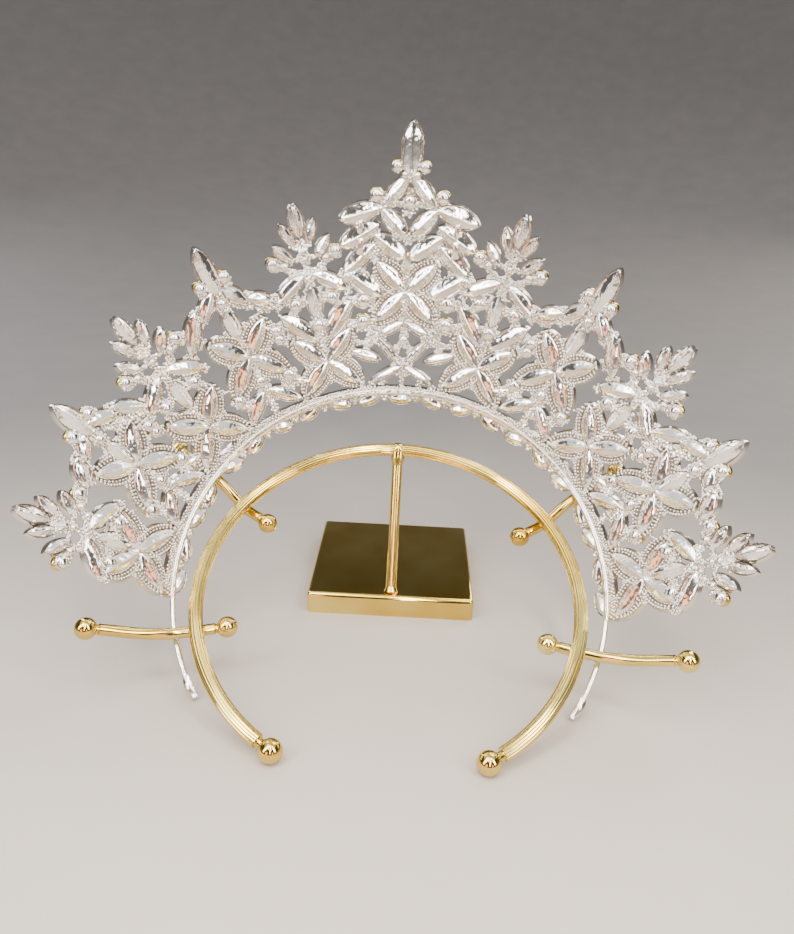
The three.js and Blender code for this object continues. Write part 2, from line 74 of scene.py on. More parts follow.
def finish_of(name):
    """A new material, its empty node tree and the object coordinates in it."""
    material = bpy.data.materials.new(name)
    material.use_nodes = True
    tree = material.node_tree
    tree.nodes.clear()
    coords = add_node(tree, "ShaderNodeTexCoord").outputs["Object"]
    return material, tree, coords


# Polished gold plate on steel: a pale yellow mirror, a little deeper in broad patches,
# with the faint waviness and fine haze that hand polishing leaves.
GOLD_PATCH = 35 * MM
GOLD_HAZE = 1.2 * MM
GOLD_WAVE = 6 * MM
GOLD_WAVE_DEPTH = 0.25 * MM
gold_plate, tree, coords = finish_of("polished_gold_plate")
patches = add_node(tree, "ShaderNodeTexNoise", {"Vector": coords, "Scale": 1 / GOLD_PATCH, "Detail": 2.0})
tone = add_node(tree, "ShaderNodeValToRGB", {"Fac": patches.outputs["Fac"]})
tone.color_ramp.elements[0].position = 0.3
tone.color_ramp.elements[0].color = linear("#cba63a")
tone.color_ramp.elements[1].position = 0.7
tone.color_ramp.elements[1].color = linear("#f3de86")
haze = add_node(tree, "ShaderNodeTexNoise", {"Vector": coords, "Scale": 1 / GOLD_HAZE, "Detail": 3.0})
sheen = add_node(
    tree,
    "ShaderNodeMapRange",
    {"Value": haze.outputs["Fac"], "From Min": 0.3, "From Max": 0.7, "To Min": 0.05, "To Max": 0.12},
)
wave = add_node(tree, "ShaderNodeTexNoise", {"Vector": coords, "Scale": 1 / GOLD_WAVE, "Detail": 1.0})
ripple = add_node(
    tree,
    "ShaderNodeBump",
    {"Height": wave.outputs["Fac"], "Strength": 0.12, "Distance": GOLD_WAVE_DEPTH},
)
shader = add_node(
    tree,
    "ShaderNodeBsdfPrincipled",
    {
        "Base Color": tone.outputs["Color"],
        "Metallic": 1.0,
        "Roughness": sheen.outputs["Result"],
        "Normal": ripple.outputs["Normal"],
    },
)
add_node(tree, "ShaderNodeOutputMaterial", {"Surface": shader.outputs["BSDF"]})


def piece_from(name, mesh_in_work, material, crease_deg=35):
    """A finished piece: outward faces, smooth but for its creases, riding on the object."""
    bmesh.ops.recalc_face_normals(mesh_in_work, faces=mesh_in_work.faces[:])
    for face in mesh_in_work.faces:
        face.smooth = True
    for edge in mesh_in_work.edges:
        if edge.is_manifold and edge.calc_face_angle() > math.radians(crease_deg):
            edge.smooth = False
    mesh = bpy.data.meshes.new(name)
    mesh_in_work.to_mesh(mesh)
    mesh_in_work.free()
    mesh.materials.append(material)
    piece = bpy.data.objects.new(name, mesh)
    bpy.context.collection.objects.link(piece)
    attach(piece, "root")
    return piece


def to_metres(work):
    """Turns a mesh in work from millimetres to metres."""
    bmesh.ops.scale(work, vec=(MM, MM, MM), verts=work.verts)


def round_edges(work, edges, size, steps):
    """Rounds edges of a mesh in work."""
    bmesh.ops.bevel(
        work,
        geom=edges,
        offset=size,
        offset_type="OFFSET",
        affect="EDGES",
        segments=steps,
        profile=0.5,
        material=-1,
    )


base = bmesh.new()
bmesh.ops.create_cube(base, size=1)
bmesh.ops.scale(base, vec=base_high - base_low, verts=base.verts)
bmesh.ops.translate(base, vec=(base_low + base_high) / 2, verts=base.verts)
rounded_edges = [e for e in base.edges if max(v.co.z for v in e.verts) > base_low.z + BASE_BEVEL]
round_edges(base, rounded_edges, BASE_BEVEL, BASE_BEVEL_STEPS)
to_metres(base)
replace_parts(piece_from("base_block", base, gold_plate), "stand_base")

# Stand ring: a steel rod of 4.7 mm, drawn with fine reeds along it and bent to an open circle.
# It leans back over the base. Its two ends are cut square, and each carries a ball foot.
RING_RADIUS = 64
RING_LEAN = math.radians(27.5)
RING_TUBE = 2.35
REEDS = 12
REED_POINTS = 6
REED_DEPTH = 0.16
REED_SHARPNESS = 8
RING_STEPS = 120
RING_END = math.radians(145.8)
RING_FORWARD = 30.5
RING_HEIGHT = 29.2
TURN_STEP = 0.01
ring_center = Vector((0, base_low.y - RING_FORWARD, RING_HEIGHT))
ring_up = Vector((0, math.cos(RING_LEAN), math.sin(RING_LEAN)))
ring_out = Vector((0, -math.sin(RING_LEAN), math.cos(RING_LEAN)))


def on_ring(turn, reach, height):
    """A point of the ring's frame: turned from its top, out from its middle, off its plane."""
    radial = Vector((math.sin(turn), 0, 0)) + ring_up * math.cos(turn)
    return ring_center + radial * reach + ring_out * height


def facing(place, way):
    """A matrix that sets a flat circle at a place, its axis along a way."""
    return Matrix.Translation(place) @ way.to_track_quat("Z", "Y").to_matrix().to_4x4()


def close_ends(work):
    """Fills the open ends of a mesh in work."""
    return bmesh.ops.holes_fill(work, edges=[e for e in work.edges if e.is_boundary])["faces"]


def bend_round(work, center, axis, end, steps):
    """Sweeps a circle round an axis to an open hoop, closes its ends and turns it to metres."""
    bmesh.ops.spin(
        work,
        geom=work.verts[:] + work.edges[:],
        cent=center,
        axis=axis,
        angle=-2 * end,
        steps=steps,
    )
    close_ends(work)
    to_metres(work)


ring = bmesh.new()
ring_start = on_ring(-RING_END, RING_RADIUS, 0)
ring_way = on_ring(TURN_STEP - RING_END, RING_RADIUS, 0) - on_ring(-TURN_STEP - RING_END, RING_RADIUS, 0)
rod_circle = bmesh.ops.create_circle(ring, segments=REED_POINTS * REEDS, radius=RING_TUBE)["verts"]
for v in rod_circle:
    groove = abs(math.sin(REEDS / 2 * math.atan2(v.co.y, v.co.x))) ** REED_SHARPNESS
    v.co *= 1 - REED_DEPTH / RING_TUBE * groove
bmesh.ops.transform(ring, matrix=facing(ring_start, ring_way), verts=rod_circle)
bend_round(ring, ring_center, ring_out, RING_END, RING_STEPS)
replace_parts(piece_from("ring_rod", ring, gold_plate), "stand_ring")

# Ball feet: turned brass balls on a short neck, screwed into the ring's two ends.
# They touch the table and keep the ring from sliding.
FOOT_BALL = 3.75
FOOT_NECK = 1.5
FOOT_NECK_LENGTH = 1.1
FOOT_CHORD = 0.07
BALL_SIDES = 32
BALL_RINGS = 20
NECK_SIDES = 24
NECK_SINK = 1
COLLAR_LENGTH = 0.5
COLLAR_FLARE = 1.35


def turned(work, middle, way, length, first, last, sides):
    """A turned length of rod about its middle, from its first radius to its last."""
    bmesh.ops.create_cone(
        work,
        cap_ends=True,
        segments=sides,
        radius1=first,
        radius2=last,
        depth=length,
        matrix=facing(middle, way),
    )


def ball_on_neck(work, root, way, ball, neck, neck_length):
    """A ball whose neck starts at the root, with a thin collar where the neck meets the rod."""
    along = way.normalized()
    for length, first in ((COLLAR_LENGTH, neck * COLLAR_FLARE), (neck_length + NECK_SINK, neck)):
        turned(work, root + along * length / 2, along, length, first, neck, NECK_SIDES)
    center = root + along * (neck_length + ball)
    bmesh.ops.create_uvsphere(
        work,
        u_segments=BALL_SIDES,
        v_segments=BALL_RINGS,
        radius=ball,
        matrix=facing(center, along),
    )


for side, hand in ((-1, "left"), (1, "right")):
    foot = bmesh.new()
    root = on_ring(side * RING_END, RING_RADIUS, 0)
    way = on_ring(side * (RING_END + FOOT_CHORD), RING_RADIUS, 0) - root
    ball_on_neck(foot, root, way, FOOT_BALL, FOOT_NECK, FOOT_NECK_LENGTH)
    to_metres(foot)
    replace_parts(piece_from(f"ball_foot_{hand}", foot, gold_plate), f"ring_ball_{hand}")

# Pegs: four bent steel rods welded under the ring, two on each side, with a brass ball screwed
# on each end and gold plate over all.
# The upper pair holds the crown's band, the lower pair keeps its wire in place.
PEG_RADIUS = 1.85
PEG_ROUNDING = 6
PEG_STEPS = 10
SAME_SPOT = 0.01
PEG_BALL = 3.5
PEG_NECK = 1.5
PEG_NECK_LENGTH = 0.5
PEG_STOPS = (58.6, 64, 75.8, 92.6)
# Where each pair sits on the ring, and its heights off the ring's plane at the stops above.
PEG_PLACES = {
    "upper": (math.radians(57.4), (-5, -4.75, 2.3, 6.8)),
    "lower": (math.radians(104.4), (-4.7, -4.4, -2.4, 6.4)),
}


def bent_rod(name, knots, radius):
    """A round rod through its knots, bent smoothly, as a mesh in work."""
    path = bpy.data.curves.new(name, "CURVE")
    path.dimensions = "3D"
    path.bevel_depth = radius
    path.bevel_resolution = PEG_ROUNDING
    path.resolution_u = PEG_STEPS
    path.use_fill_caps = True
    spline = path.splines.new("BEZIER")
    spline.bezier_points.add(len(knots) - 1)
    for bead, knot in zip(spline.bezier_points, knots):
        bead.co = knot
        bead.handle_left_type = bead.handle_right_type = "AUTO"
    holder = bpy.data.objects.new(name, path)
    bpy.context.collection.objects.link(holder)
    bpy.context.view_layer.update()
    work = bmesh.new()
    work.from_mesh(holder.to_mesh())
    bmesh.ops.remove_doubles(work, verts=work.verts, dist=SAME_SPOT)
    bpy.data.objects.remove(holder)
    bpy.data.curves.remove(path)
    return work


for level, (turn, heights) in PEG_PLACES.items():
    for side, hand in ((-1, "left"), (1, "right")):
        knots = [on_ring(side * turn, reach, h) for reach, h in zip(PEG_STOPS, heights)]
        rod = bent_rod(f"peg_rod_{level}_{hand}", knots, PEG_RADIUS)
        to_metres(rod)
        peg = piece_from(f"peg_rod_{level}_{hand}", rod, gold_plate)
        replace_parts(peg, f"peg_{level}_{hand}")
        for end, knot, near in (("inner", knots[0], knots[1]), ("outer", knots[3], knots[2])):
            ball = bmesh.new()
            ball_on_neck(ball, knot, knot - near, PEG_BALL, PEG_NECK, PEG_NECK_LENGTH)
            to_metres(ball)
            screwed = piece_from(f"peg_end_{level}_{hand}_{end}", ball, gold_plate)
            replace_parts(screwed, f"peg_ball_{level}_{hand}_{end}")

# Post: a thin steel rod that leans back from the base's front edge to the top of the ring.
# A collar and a rounded weld join it to the ring, and its foot flares on the base.
# A fine line shows where its lower sleeve ends.
POST_RADIUS = 1.95
COLLAR_RADIUS = 2.6
SLEEVE_RADIUS = 2.05
WELD_RADIUS = 2.75
WELD_SIDES = 24
WELD_RINGS = 12
POST_SIDES = 28
POST_INSET = 4.5
# Turned lengths of the post: start and end as shares of its length, first and last radius.
POST_LENGTHS = (
    (0, 0.965, POST_RADIUS, POST_RADIUS),
    (0.89, 0.94, POST_RADIUS, COLLAR_RADIUS),
    (0.94, 0.985, COLLAR_RADIUS, COLLAR_RADIUS),
    (0.255, 0.265, SLEEVE_RADIUS, SLEEVE_RADIUS),
    (0, 0.035, COLLAR_RADIUS, POST_RADIUS),
)
post_foot = Vector((0, base_low.y + POST_INSET, base_high.z))
post_top = on_ring(0, RING_RADIUS, 0)
post_way = post_top - post_foot
post = bmesh.new()
for start, end, first, last in POST_LENGTHS:
    level = post_foot + post_way * (start + end) / 2
    turned(post, level, post_way, post_way.length * (end - start), first, last, POST_SIDES)
bmesh.ops.create_uvsphere(
    post,
    u_segments=WELD_SIDES,
    v_segments=WELD_RINGS,
    radius=WELD_RADIUS,
    matrix=Matrix.Translation(post_top),
)
to_metres(post)
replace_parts(piece_from("post_rod", post, gold_plate), "stand_post")

# Head wire: a drawn steel wire bent to a headband and silver plated, with a small comb at each end.
# The band is soldered along its upper side, and the lace flares from the band as a cone.
HEADBAND_RADIUS = 73.8
HEADBAND_LEAN = math.radians(43.5)
FLARE = math.radians(40)
UNROLLED = 100
WIRE_RADIUS = 0.95
WIRE_SIDES = 16
WIRE_STEPS = 140
WIRE_END = math.radians(125.2)
HEADBAND_FORWARD = 24.4
HEADBAND_HEIGHT = 30.4
headband_center = Vector((0, base_low.y - HEADBAND_FORWARD, HEADBAND_HEIGHT))
plane_up = Vector((0, math.cos(HEADBAND_LEAN), math.sin(HEADBAND_LEAN)))
plane_out = Vector((0, -math.sin(HEADBAND_LEAN), math.cos(HEADBAND_LEAN)))


def on_cone(flat):
    """A point of the unrolled lace (round the head, up the slant, towards the front), in place."""
    turn = flat.x / UNROLLED
    radial = Vector((math.sin(turn), 0, 0)) + plane_up * math.cos(turn)
    reach = HEADBAND_RADIUS + flat.y * math.sin(FLARE) + flat.z * math.cos(FLARE)
    rise = flat.y * math.cos(FLARE) - flat.z * math.sin(FLARE)
    return headband_center + radial * reach + plane_out * rise


def wrap(work):
    """Bends flat lace onto the cone and turns it to metres."""
    for v in work.verts:
        v.co = on_cone(v.co) * MM


# Bright silver plate over a zinc casting: a white mirror on every raised back.
# Cream polish residue and painted shade darken the grooves and the ground between parts, where the
# patina-and-shade attribute is high.
SILVER_CLOUD = 5 * MM
SILVER_DRIFT = 0.35
SILVER_WAVE = 2.2 * MM
SILVER_WAVE_DEPTH = 0.4 * MM
silver_plate, tree, coords = finish_of("bright_silver_plate")
residue_and_shade = add_node(tree, "ShaderNodeAttribute", attribute_name="patina_and_shade").outputs["Fac"]
cloud = add_node(tree, "ShaderNodeTexNoise", {"Vector": coords, "Scale": 1 / SILVER_CLOUD, "Detail": 3.0})
drift = add_node(tree, "ShaderNodeMath", {0: cloud.outputs["Fac"], 1: SILVER_DRIFT}, operation="MULTIPLY")
stain_and_shade = add_node(
    tree,
    "ShaderNodeMath",
    {0: residue_and_shade, 1: drift.outputs["Value"]},
    operation="ADD",
    use_clamp=True,
)
# The ramp runs from bright silver to grey-brown: residue in the hollows, and painted shade in the grooves
# and the ground between parts.
tone = add_node(tree, "ShaderNodeValToRGB", {"Fac": stain_and_shade.outputs["Value"]})
tone.color_ramp.elements[0].position = 0.15
tone.color_ramp.elements[0].color = linear("#f7f4f0")
tone.color_ramp.elements[1].position = 0.98
tone.color_ramp.elements[1].color = linear("#7f7362")
tone.color_ramp.elements.new(0.62).color = linear("#e0d6c4")
gloss = add_node(
    tree,
    "ShaderNodeMapRange",
    {"Value": stain_and_shade.outputs["Value"], "To Min": 0.09, "To Max": 0.3},
)
wave = add_node(tree, "ShaderNodeTexNoise", {"Vector": coords, "Scale": 1 / SILVER_WAVE, "Detail": 1.0})
ripple = add_node(
    tree,
    "ShaderNodeBump",
    {"Height": wave.outputs["Fac"], "Strength": 0.55, "Distance": SILVER_WAVE_DEPTH},
)
shader = add_node(
    tree,
    "ShaderNodeBsdfPrincipled",
    {
        "Base Color": tone.outputs["Color"],
        "Metallic": 1.0,
        "Roughness": gloss.outputs["Result"],
        "Normal": ripple.outputs["Normal"],
    },
)
add_node(tree, "ShaderNodeOutputMaterial", {"Surface": shader.outputs["BSDF"]})


def lace_work():
    """An empty mesh in work for flat lace, with its attribute of patina and painted shade."""
    work = bmesh.new()
    work.verts.layers.float.new("patina_and_shade")
    return work


def given_stain_and_shade(work, verts, stain_and_shade):
    """Gives vertices of the lace their patina and painted shade, from 0, bright, to 1, full of residue and
    shade.
    """
    patina_and_shade = work.verts.layers.float["patina_and_shade"]
    for v in verts:
        v[patina_and_shade] = stain_and_shade


def pour(small, lace):
    """Adds a small mesh in work to the lace; operators are fast only while a mesh is small."""
    holder = bpy.data.meshes.new("poured")
    small.to_mesh(holder)
    small.free()
    lace.from_mesh(holder)
    bpy.data.meshes.remove(holder)


def hoop(up, height, end, radius):
    """A round wire that follows the lace at one level, open at the crown's bottom."""
    work = bmesh.new()
    start = on_cone(Vector((-end * UNROLLED, up, height)))
    ahead = on_cone(Vector(((TURN_STEP - end) * UNROLLED, up, height)))
    bmesh.ops.create_circle(work, segments=WIRE_SIDES, radius=radius, matrix=facing(start, ahead - start))
    bend_round(work, headband_center, plane_out, end, WIRE_STEPS)
    return work


wire = hoop(0, 0, WIRE_END, WIRE_RADIUS)
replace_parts(piece_from("head_wire", wire, silver_plate), "crown_lace")

# Marquise cups: pointed oval settings, part of the plated zinc casting, seen from behind.
# Each back is two flat facets that meet in a keel, with a thin raised rim round them.
PLATE_FRONT = 1.6
CUP_STEPS = 12
CUP_WIDEN = 1.18
TIP_OVER = 0.4
LIP_FLARE = 1.06
CUP_FULLNESS = 0.7
SWELL_FULLNESS = 0.6
AT_TIP = 0.999
TIP_MERGE = 1e-4
# The walls that drop from each back to the front carry residue and painted shade.
WALL_PATINA_AND_SHADE = 0.45
POCKET_LIP = 0.45
POCKET_DEPTH = 0.4
# Across a cup from its keel to its rim: share of the half width, height at the tips, swell, patina and
# painted shade.
CUP_SECTION = (
    (0.0, -0.6, -1.2, 0.05),
    (0.06, -0.5, -1.1, 0.1),
    (0.45, -0.4, -0.7, 0.0),
    (0.82, -0.25, -0.15, 0.1),
    (0.87, -0.05, 0.0, 0.6),
    (0.91, -0.5, -0.1, 0.05),
    (0.97, -0.5, -0.1, 0.05),
    (1.0, -0.2, -0.05, 0.2),
)


def column(side, turn_deg):
    """Places (across, up, height) of one column on the unrolled lace; across is towards the middle."""

    def place(across, up, height):
        """A point of this column, laid flat."""
        reach = HEADBAND_RADIUS + up * math.sin(FLARE)
        return Vector((side * (math.radians(turn_deg) - across / reach) * UNROLLED, up, height))

    return place


def along_cup(place, cup, along, wide, height):
    """A point of a cup: along its length from -1 to 1, and to one side in millimetres."""
    across, up, to_across, to_up, width = cup
    length = math.hypot(to_across - across, to_up - up)
    ax, ay = (to_across - across) / length, (to_up - up) / length
    run = length / 2 + along * (length / 2 + TIP_OVER)
    return place(across + ax * run - ay * wide, up + ay * run + ax * wide, height)


def half_width(cup, share, along, fullness):
    """Half the width of a cup's outline at a point along it; full outlines have a low fullness."""
    return share * cup[4] / 2 * max(0.0, 1 - along * along) ** fullness


def boat(lace, place, cup, section, fullness=None, lift=0.0):
    """A cup between two tips: a ridged back on a grid, walls to the front, and a pocket there."""
    work = lace_work()
    patina_and_shade = work.verts.layers.float["patina_and_shade"]
    last = len(section) - 1
    fullness = fullness or [CUP_FULLNESS] * (last + 1)
    grid = bmesh.ops.create_grid(work, x_segments=CUP_STEPS, y_segments=2 * last, size=1)["verts"]
    for v in grid:
        along = math.sin(v.co.x * math.pi / 2)
        level = round(abs(v.co.y) * last)
        share, tip, swell, stain_and_shade = section[level]
        wide = math.copysign(half_width(cup, share, along, fullness[level]), v.co.y)
        at_tip = abs(along) > AT_TIP
        height = section[last][1] if at_tip else tip + swell * (1 - along * along) ** SWELL_FULLNESS
        v[patina_and_shade] = section[last][3] if at_tip else stain_and_shade
        v.co = along_cup(place, cup, along, wide, lift + height)
    bmesh.ops.remove_doubles(work, verts=work.verts, dist=TIP_MERGE)
    wall = bmesh.ops.extrude_edge_only(work, edges=[e for e in work.edges if e.is_boundary])["geom"]
    front = [v for v in wall if isinstance(v, bmesh.types.BMVert)]
    for v in front:
        v.co.z = lift + PLATE_FRONT
    given_stain_and_shade(work, front, WALL_PATINA_AND_SHADE)
    middle_of_cup = Matrix.Translation(-along_cup(place, cup, 0, 0, 0))
    bmesh.ops.scale(work, vec=(LIP_FLARE, LIP_FLARE, 1), space=middle_of_cup, verts=front)
    face = close_ends(work)
    bmesh.ops.inset_region(work, faces=face, thickness=POCKET_LIP, depth=-POCKET_DEPTH, use_even_offset=True)
    pour(work, lace)


def both_hands(rows):
    """Each row, and its mirror image across the column unless it lies on the middle."""
    made = []
    for row in rows:
        made.append(row)
        if abs(row[0]) + abs(row[2] if len(row) > 3 else 0) > ON_MIDDLE:
            made.append((-row[0], row[1]) + ((-row[2],) + tuple(row[3:]) if len(row) > 3 else row[2:]))
    return made


def raised(rows, up):
    """Rows of a table moved up the slant."""
    return [(r[0], r[1] + up) + ((r[2], r[3] + up, r[4]) if len(r) > 3 else r[2:]) for r in rows]


def widened(cup):
    """A cup as polished: its lip stands a little outside the line that the tables give."""
    return cup[:4] + (cup[4] * CUP_WIDEN,)


# A row this near to the middle of its column has no mirror image.
ON_MIDDLE = 0.5
# Cups run from (across, up) to (across, up) with a width. A sprig's are measured from its hub.
SPRIG_LEAVES = ((0, 11.2, 0.6, 21.8, 4.3), (2.3, 8.8, 5.8, 16.6, 3.7), (4, 3.6, 9.9, 10.3, 3.9))
SPRIG_CUPS = ((1.8, -1.9, 12.9, -8.7, 5.4), (0.3, -5.5, 0.1, -17.6, 5.6))
TALL_SPRIG_CUPS = ((1.5, -26, 12.8, -13.6, 6),)
# A spire's cups are measured from its foot: the inner spire's two hands, then the outer's.
SPIRE_CUPS = (
    (
        (2.6, -1.2, 8.1, -9.8, 5.2),
        (9, -7.8, 16.4, -12, 5),
        (-1.9, -1.2, -8.9, -8, 5.2),
        (-10, -4, -18, -16, 5.8),
    ),
    (
        (1.8, 0.3, 10.5, -5.5, 5.2),
        (9.9, -2.7, 18.2, -12, 5.2),
        (-2.4, -0.5, -8.3, -4.8, 5),
        (-9.6, -2.3, -15.9, -9.5, 5.4),
    ),
)
SPIRE_KEEL = (-0.3, -8.2, -0.1, -20, 5.6)
# The cups under a spire's flower are measured from the headband.
FOOT_CUPS = ((0.9, 13.2, 10.6, 4.6, 5),)
# The middle column, from the headband: its main cups, then its smaller ones.
MIDDLE_MAIN = (
    (0, 78.2, 0, 94.5, 6.6),
    (1, 77, 8.7, 68.5, 5.3),
    (0.8, 58, 9.6, 66.9, 5.6),
    (9.6, 67.3, 24, 64.4, 6.6),
    (10.6, 61.6, 23.8, 55.2, 6.6),
    (0.5, 50, 12, 58.4, 6),
)
MIDDLE_CUPS = (
    (11.6, 55, 22.3, 46, 6.2),
    (8.4, 36.8, 21, 45.9, 6.2),
    (0.3, 27.2, 9.9, 22.2, 3.6),
    (0.5, 11, 8.9, 20.8, 3.7),
    (0.5, 10.4, 11.2, 4.4, 3.4),
    (8, 12.8, 19, 17.2, 3.9),
)
# Sprigs: turn in degrees, hub's height. Spires: turn, foot's height, length.
SPRIGS = ((19.4, 49.3), (54.1, 42), (88.7, 35.8))
SPIRES = ((36.8, 54.2, 14.4), (71.4, 48.3, 12.2))
SPIRE_SINK = 3
SPIRE_SHORT = 0.3
SPIRE_WIDTH = 6.3
SIDES = (-1, 1)
middle = column(1, 0)


def on_columns(center=(), sprig=(), tall=(), low=(), spire=(), hands=((), ()), foot=(), lone=()):
    """Rows of the tables on all the columns: the middle one, then each side's sprigs and spires.

    Sprig and spire rows start from the hub or foot, low and foot rows from the headband. The tallest
    sprig alone has the tall rows. Hands (one set a spire) and lone rows have no mirror image.
    """
    made = [(middle, row) for row in both_hands(center)]
    for side in SIDES:
        for turn, hub in SPRIGS:
            rows = raised(sprig + (tall if turn == SPRIGS[0][0] else ()), hub) + list(low)
            made += [(column(side, turn), row) for row in both_hands(rows)]
        for (turn, base_up, length), arms in zip(SPIRES, hands):
            rows = both_hands(raised(spire, base_up)) + raised(arms, base_up) + both_hands(foot)
            made += [(column(side, turn), row) for row in rows + list(lone)]
    return made


main_cups = [(middle, widened(cup)) for cup in both_hands(MIDDLE_MAIN)]
for side in SIDES:
    for turn, foot, length in SPIRES:
        cup = (0, foot - SPIRE_SINK, 0, foot + length - SPIRE_SHORT, SPIRE_WIDTH)
        main_cups.append((column(side, turn), widened(cup)))
keeled_arms = [arms + (SPIRE_KEEL,) for arms in SPIRE_CUPS]
inner_rows = on_columns(MIDDLE_CUPS, SPRIG_CUPS, TALL_SPRIG_CUPS, hands=keeled_arms, foot=FOOT_CUPS)
inner_cups = [(sheet, widened(cup)) for sheet, cup in inner_rows]
small_cups = inner_cups + [(sheet, widened(cup)) for sheet, cup in on_columns(sprig=SPRIG_LEAVES)]

cups = lace_work()
for sheet, cup in main_cups + small_cups:
    boat(cups, sheet, cup, CUP_SECTION)
wrap(cups)
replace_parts(piece_from("marquise_cups", cups, silver_plate), "crown_lace")

# Flowers: four wide petals each, cast in one with the lace, a raised boat along each middle.
# Two rows of milgrain beads run round the boat on every petal's flat border.
PETAL_LENGTH = 15.4
PETAL_WIDTH = 11
FLOWER_UP = {"middle": 38.2, "sprig": 15, "spire": 27}
PETAL_SECTION = (
    (0.0, -0.6, -1.3, 0.05),
    (0.04, -0.5, -1.2, 0.1),
    (0.28, -0.4, -0.7, 0.0),
    (0.5, -0.28, -0.2, 0.15),
    (0.55, -0.02, 0.0, 0.65),
    (0.6, -0.25, 0.0, 0.7),
    (0.96, -0.2, 0.0, 0.7),
    (1.0, 0.0, 0.0, 0.45),
)
PETAL_FULLNESS = (0.9, 0.9, 0.9, 0.9, 0.86, 0.82, 0.6, 0.6)
# Milgrain rows: share of the half width, fullness, beads a side, bead radius, first bead along.
MILGRAIN_ROWS = ((0.86, 0.6, 15, 0.55, -0.8), (0.67, 0.72, 12, 0.46, -0.7))
MILGRAIN_LAST = 0.96
MILGRAIN_LEVEL = -0.3
PETAL_CROSS = 0.4
BEAD_CREASE = 80
BATCH = 60


def grains(lace, spots):
    """Tiny cast beads on the unrolled lace (place, radius, patina and painted shade), kept round once it is
    wrapped.

    Where a list of them is made, sizes, patina and painted shade vary by steady rules from bead to bead.
    """
    for first in range(0, len(spots), BATCH):
        work = lace_work()
        for at, radius, stain_and_shade in spots[first : first + BATCH]:
            reach = HEADBAND_RADIUS + at.y * math.sin(FLARE)
            size = Matrix.Diagonal((UNROLLED / reach, 1, 1, 1))
            bead = Matrix.Translation(at) @ size
            made = bmesh.ops.create_icosphere(work, subdivisions=1, radius=radius, matrix=bead)["verts"]
            given_stain_and_shade(work, made, stain_and_shade)
        pour(work, lace)


flowers = [(middle, FLOWER_UP["middle"])]
for side in SIDES:
    flowers += [(column(side, turn), FLOWER_UP["sprig"]) for turn, hub in SPRIGS]
    flowers += [(column(side, turn), FLOWER_UP["spire"]) for turn, foot, length in SPIRES]
petal_cups = []
for sheet, up in flowers:
    reach = PETAL_LENGTH * math.sqrt(0.5)
    for a, b in ((1, 1), (-1, 1), (-1, -1), (1, -1)):
        start = (-PETAL_CROSS * a, up - PETAL_CROSS * b)
        petal_cups.append((sheet, start + (reach * a, up + reach * b, PETAL_WIDTH)))

petals = lace_work()
for sheet, cup in petal_cups:
    boat(petals, sheet, cup, PETAL_SECTION, PETAL_FULLNESS)
wrap(petals)
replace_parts(piece_from("petals", petals, silver_plate), "crown_lace")

milgrain = lace_work()
spots = []
for sheet, cup in petal_cups:
    for share, fullness, count, radius, first in MILGRAIN_ROWS:
        for i in range(count):
            along = first + (MILGRAIN_LAST - first) * i / (count - 1)
            for hand in SIDES:
                wide = hand * half_width(cup, share, along, fullness)
                at = along_cup(sheet, cup, along, wide, MILGRAIN_LEVEL)
                spots.append((at, radius, 0.05 + 0.07 * (i % 3)))
grains(milgrain, spots)
wrap(milgrain)
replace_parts(piece_from("petal_milgrain", milgrain, silver_plate, BEAD_CREASE), "crown_lace")

# Round cups: smooth cast domes with a collar, each holding a gold bead on the crown's front.
# Their levels run from the back's pole to the front: share of the radius, height, patina and painted shade.
ROUND_LEVELS = (
    (0.0, -1.75, 0.0),
    (0.5, -1.6, 0.0),
    (0.8, -1.2, 0.05),
    (0.93, -0.6, 0.2),
    (0.86, -0.25, 0.9),
    (1.0, -0.05, 0.3),
    (1.0, 1.5, 0.4),
    (0.8, 1.6, 0.4),
    (0.0, 1.6, 0.4),
)
ROUND_SIDES = 16
# Each round cup has a place (across, up) and a radius, measured as the cups of its column are.
SPRIG_ROUNDS = ((11.3, 4.6, 2.2), (6.7, -11.4, 2.4))
TALL_SPRIG_ROUNDS = ((0, -20.4, 2.3),)
# Plain collars along a sprig's stems carry no bead.
SPRIG_COLLARS = ((7.4, 2.8, 1.6), (0, 3.6, 1.3), (0, 6.2, 1.1))
SPIRE_ROUNDS = ((4.6, 1.8, 2.1), (-0.2, -6, 1.9))
FOOT_ROUNDS = ((0, 16.8, 2.2), (10.4, 14.6, 2.5))
PAIR_ROUNDS = ((13, 31.4, 2.1), (12.7, 28.1, 2.1))
MIDDLE_ROUNDS = (
    (4.7, 80.5, 2),
    (2.2, 77.9, 1.4),
    (11.4, 71.3, 2.3),
    (0, 69.2, 2.4),
    (21.4, 44.4, 1.9),
    (15.1, 35, 2.8),
    (15.2, 27.5, 2.6),
    (0, 20.5, 1.9),
)


def globe_level(v, levels):
    """Which ring of a globe a vertex lies on, counted from the globe's lowest point."""
    return round(math.acos(max(-1, min(1, -v.co.z))) / math.pi * levels)


def dome(lace, place, across, up, radius):
    """A round cup, from a globe whose rings take the levels above."""
    work = lace_work()
    patina_and_shade = work.verts.layers.float["patina_and_shade"]
    levels = len(ROUND_LEVELS) - 1
    bmesh.ops.create_uvsphere(work, u_segments=ROUND_SIDES, v_segments=levels, radius=1)
    for v in work.verts:
        share, height, stain_and_shade = ROUND_LEVELS[globe_level(v, levels)]
        turn = math.atan2(v.co.y, v.co.x)
        v[patina_and_shade] = stain_and_shade
        v.co = place(across + share * radius * math.cos(turn), up + share * radius * math.sin(turn), height)
    pour(work, lace)


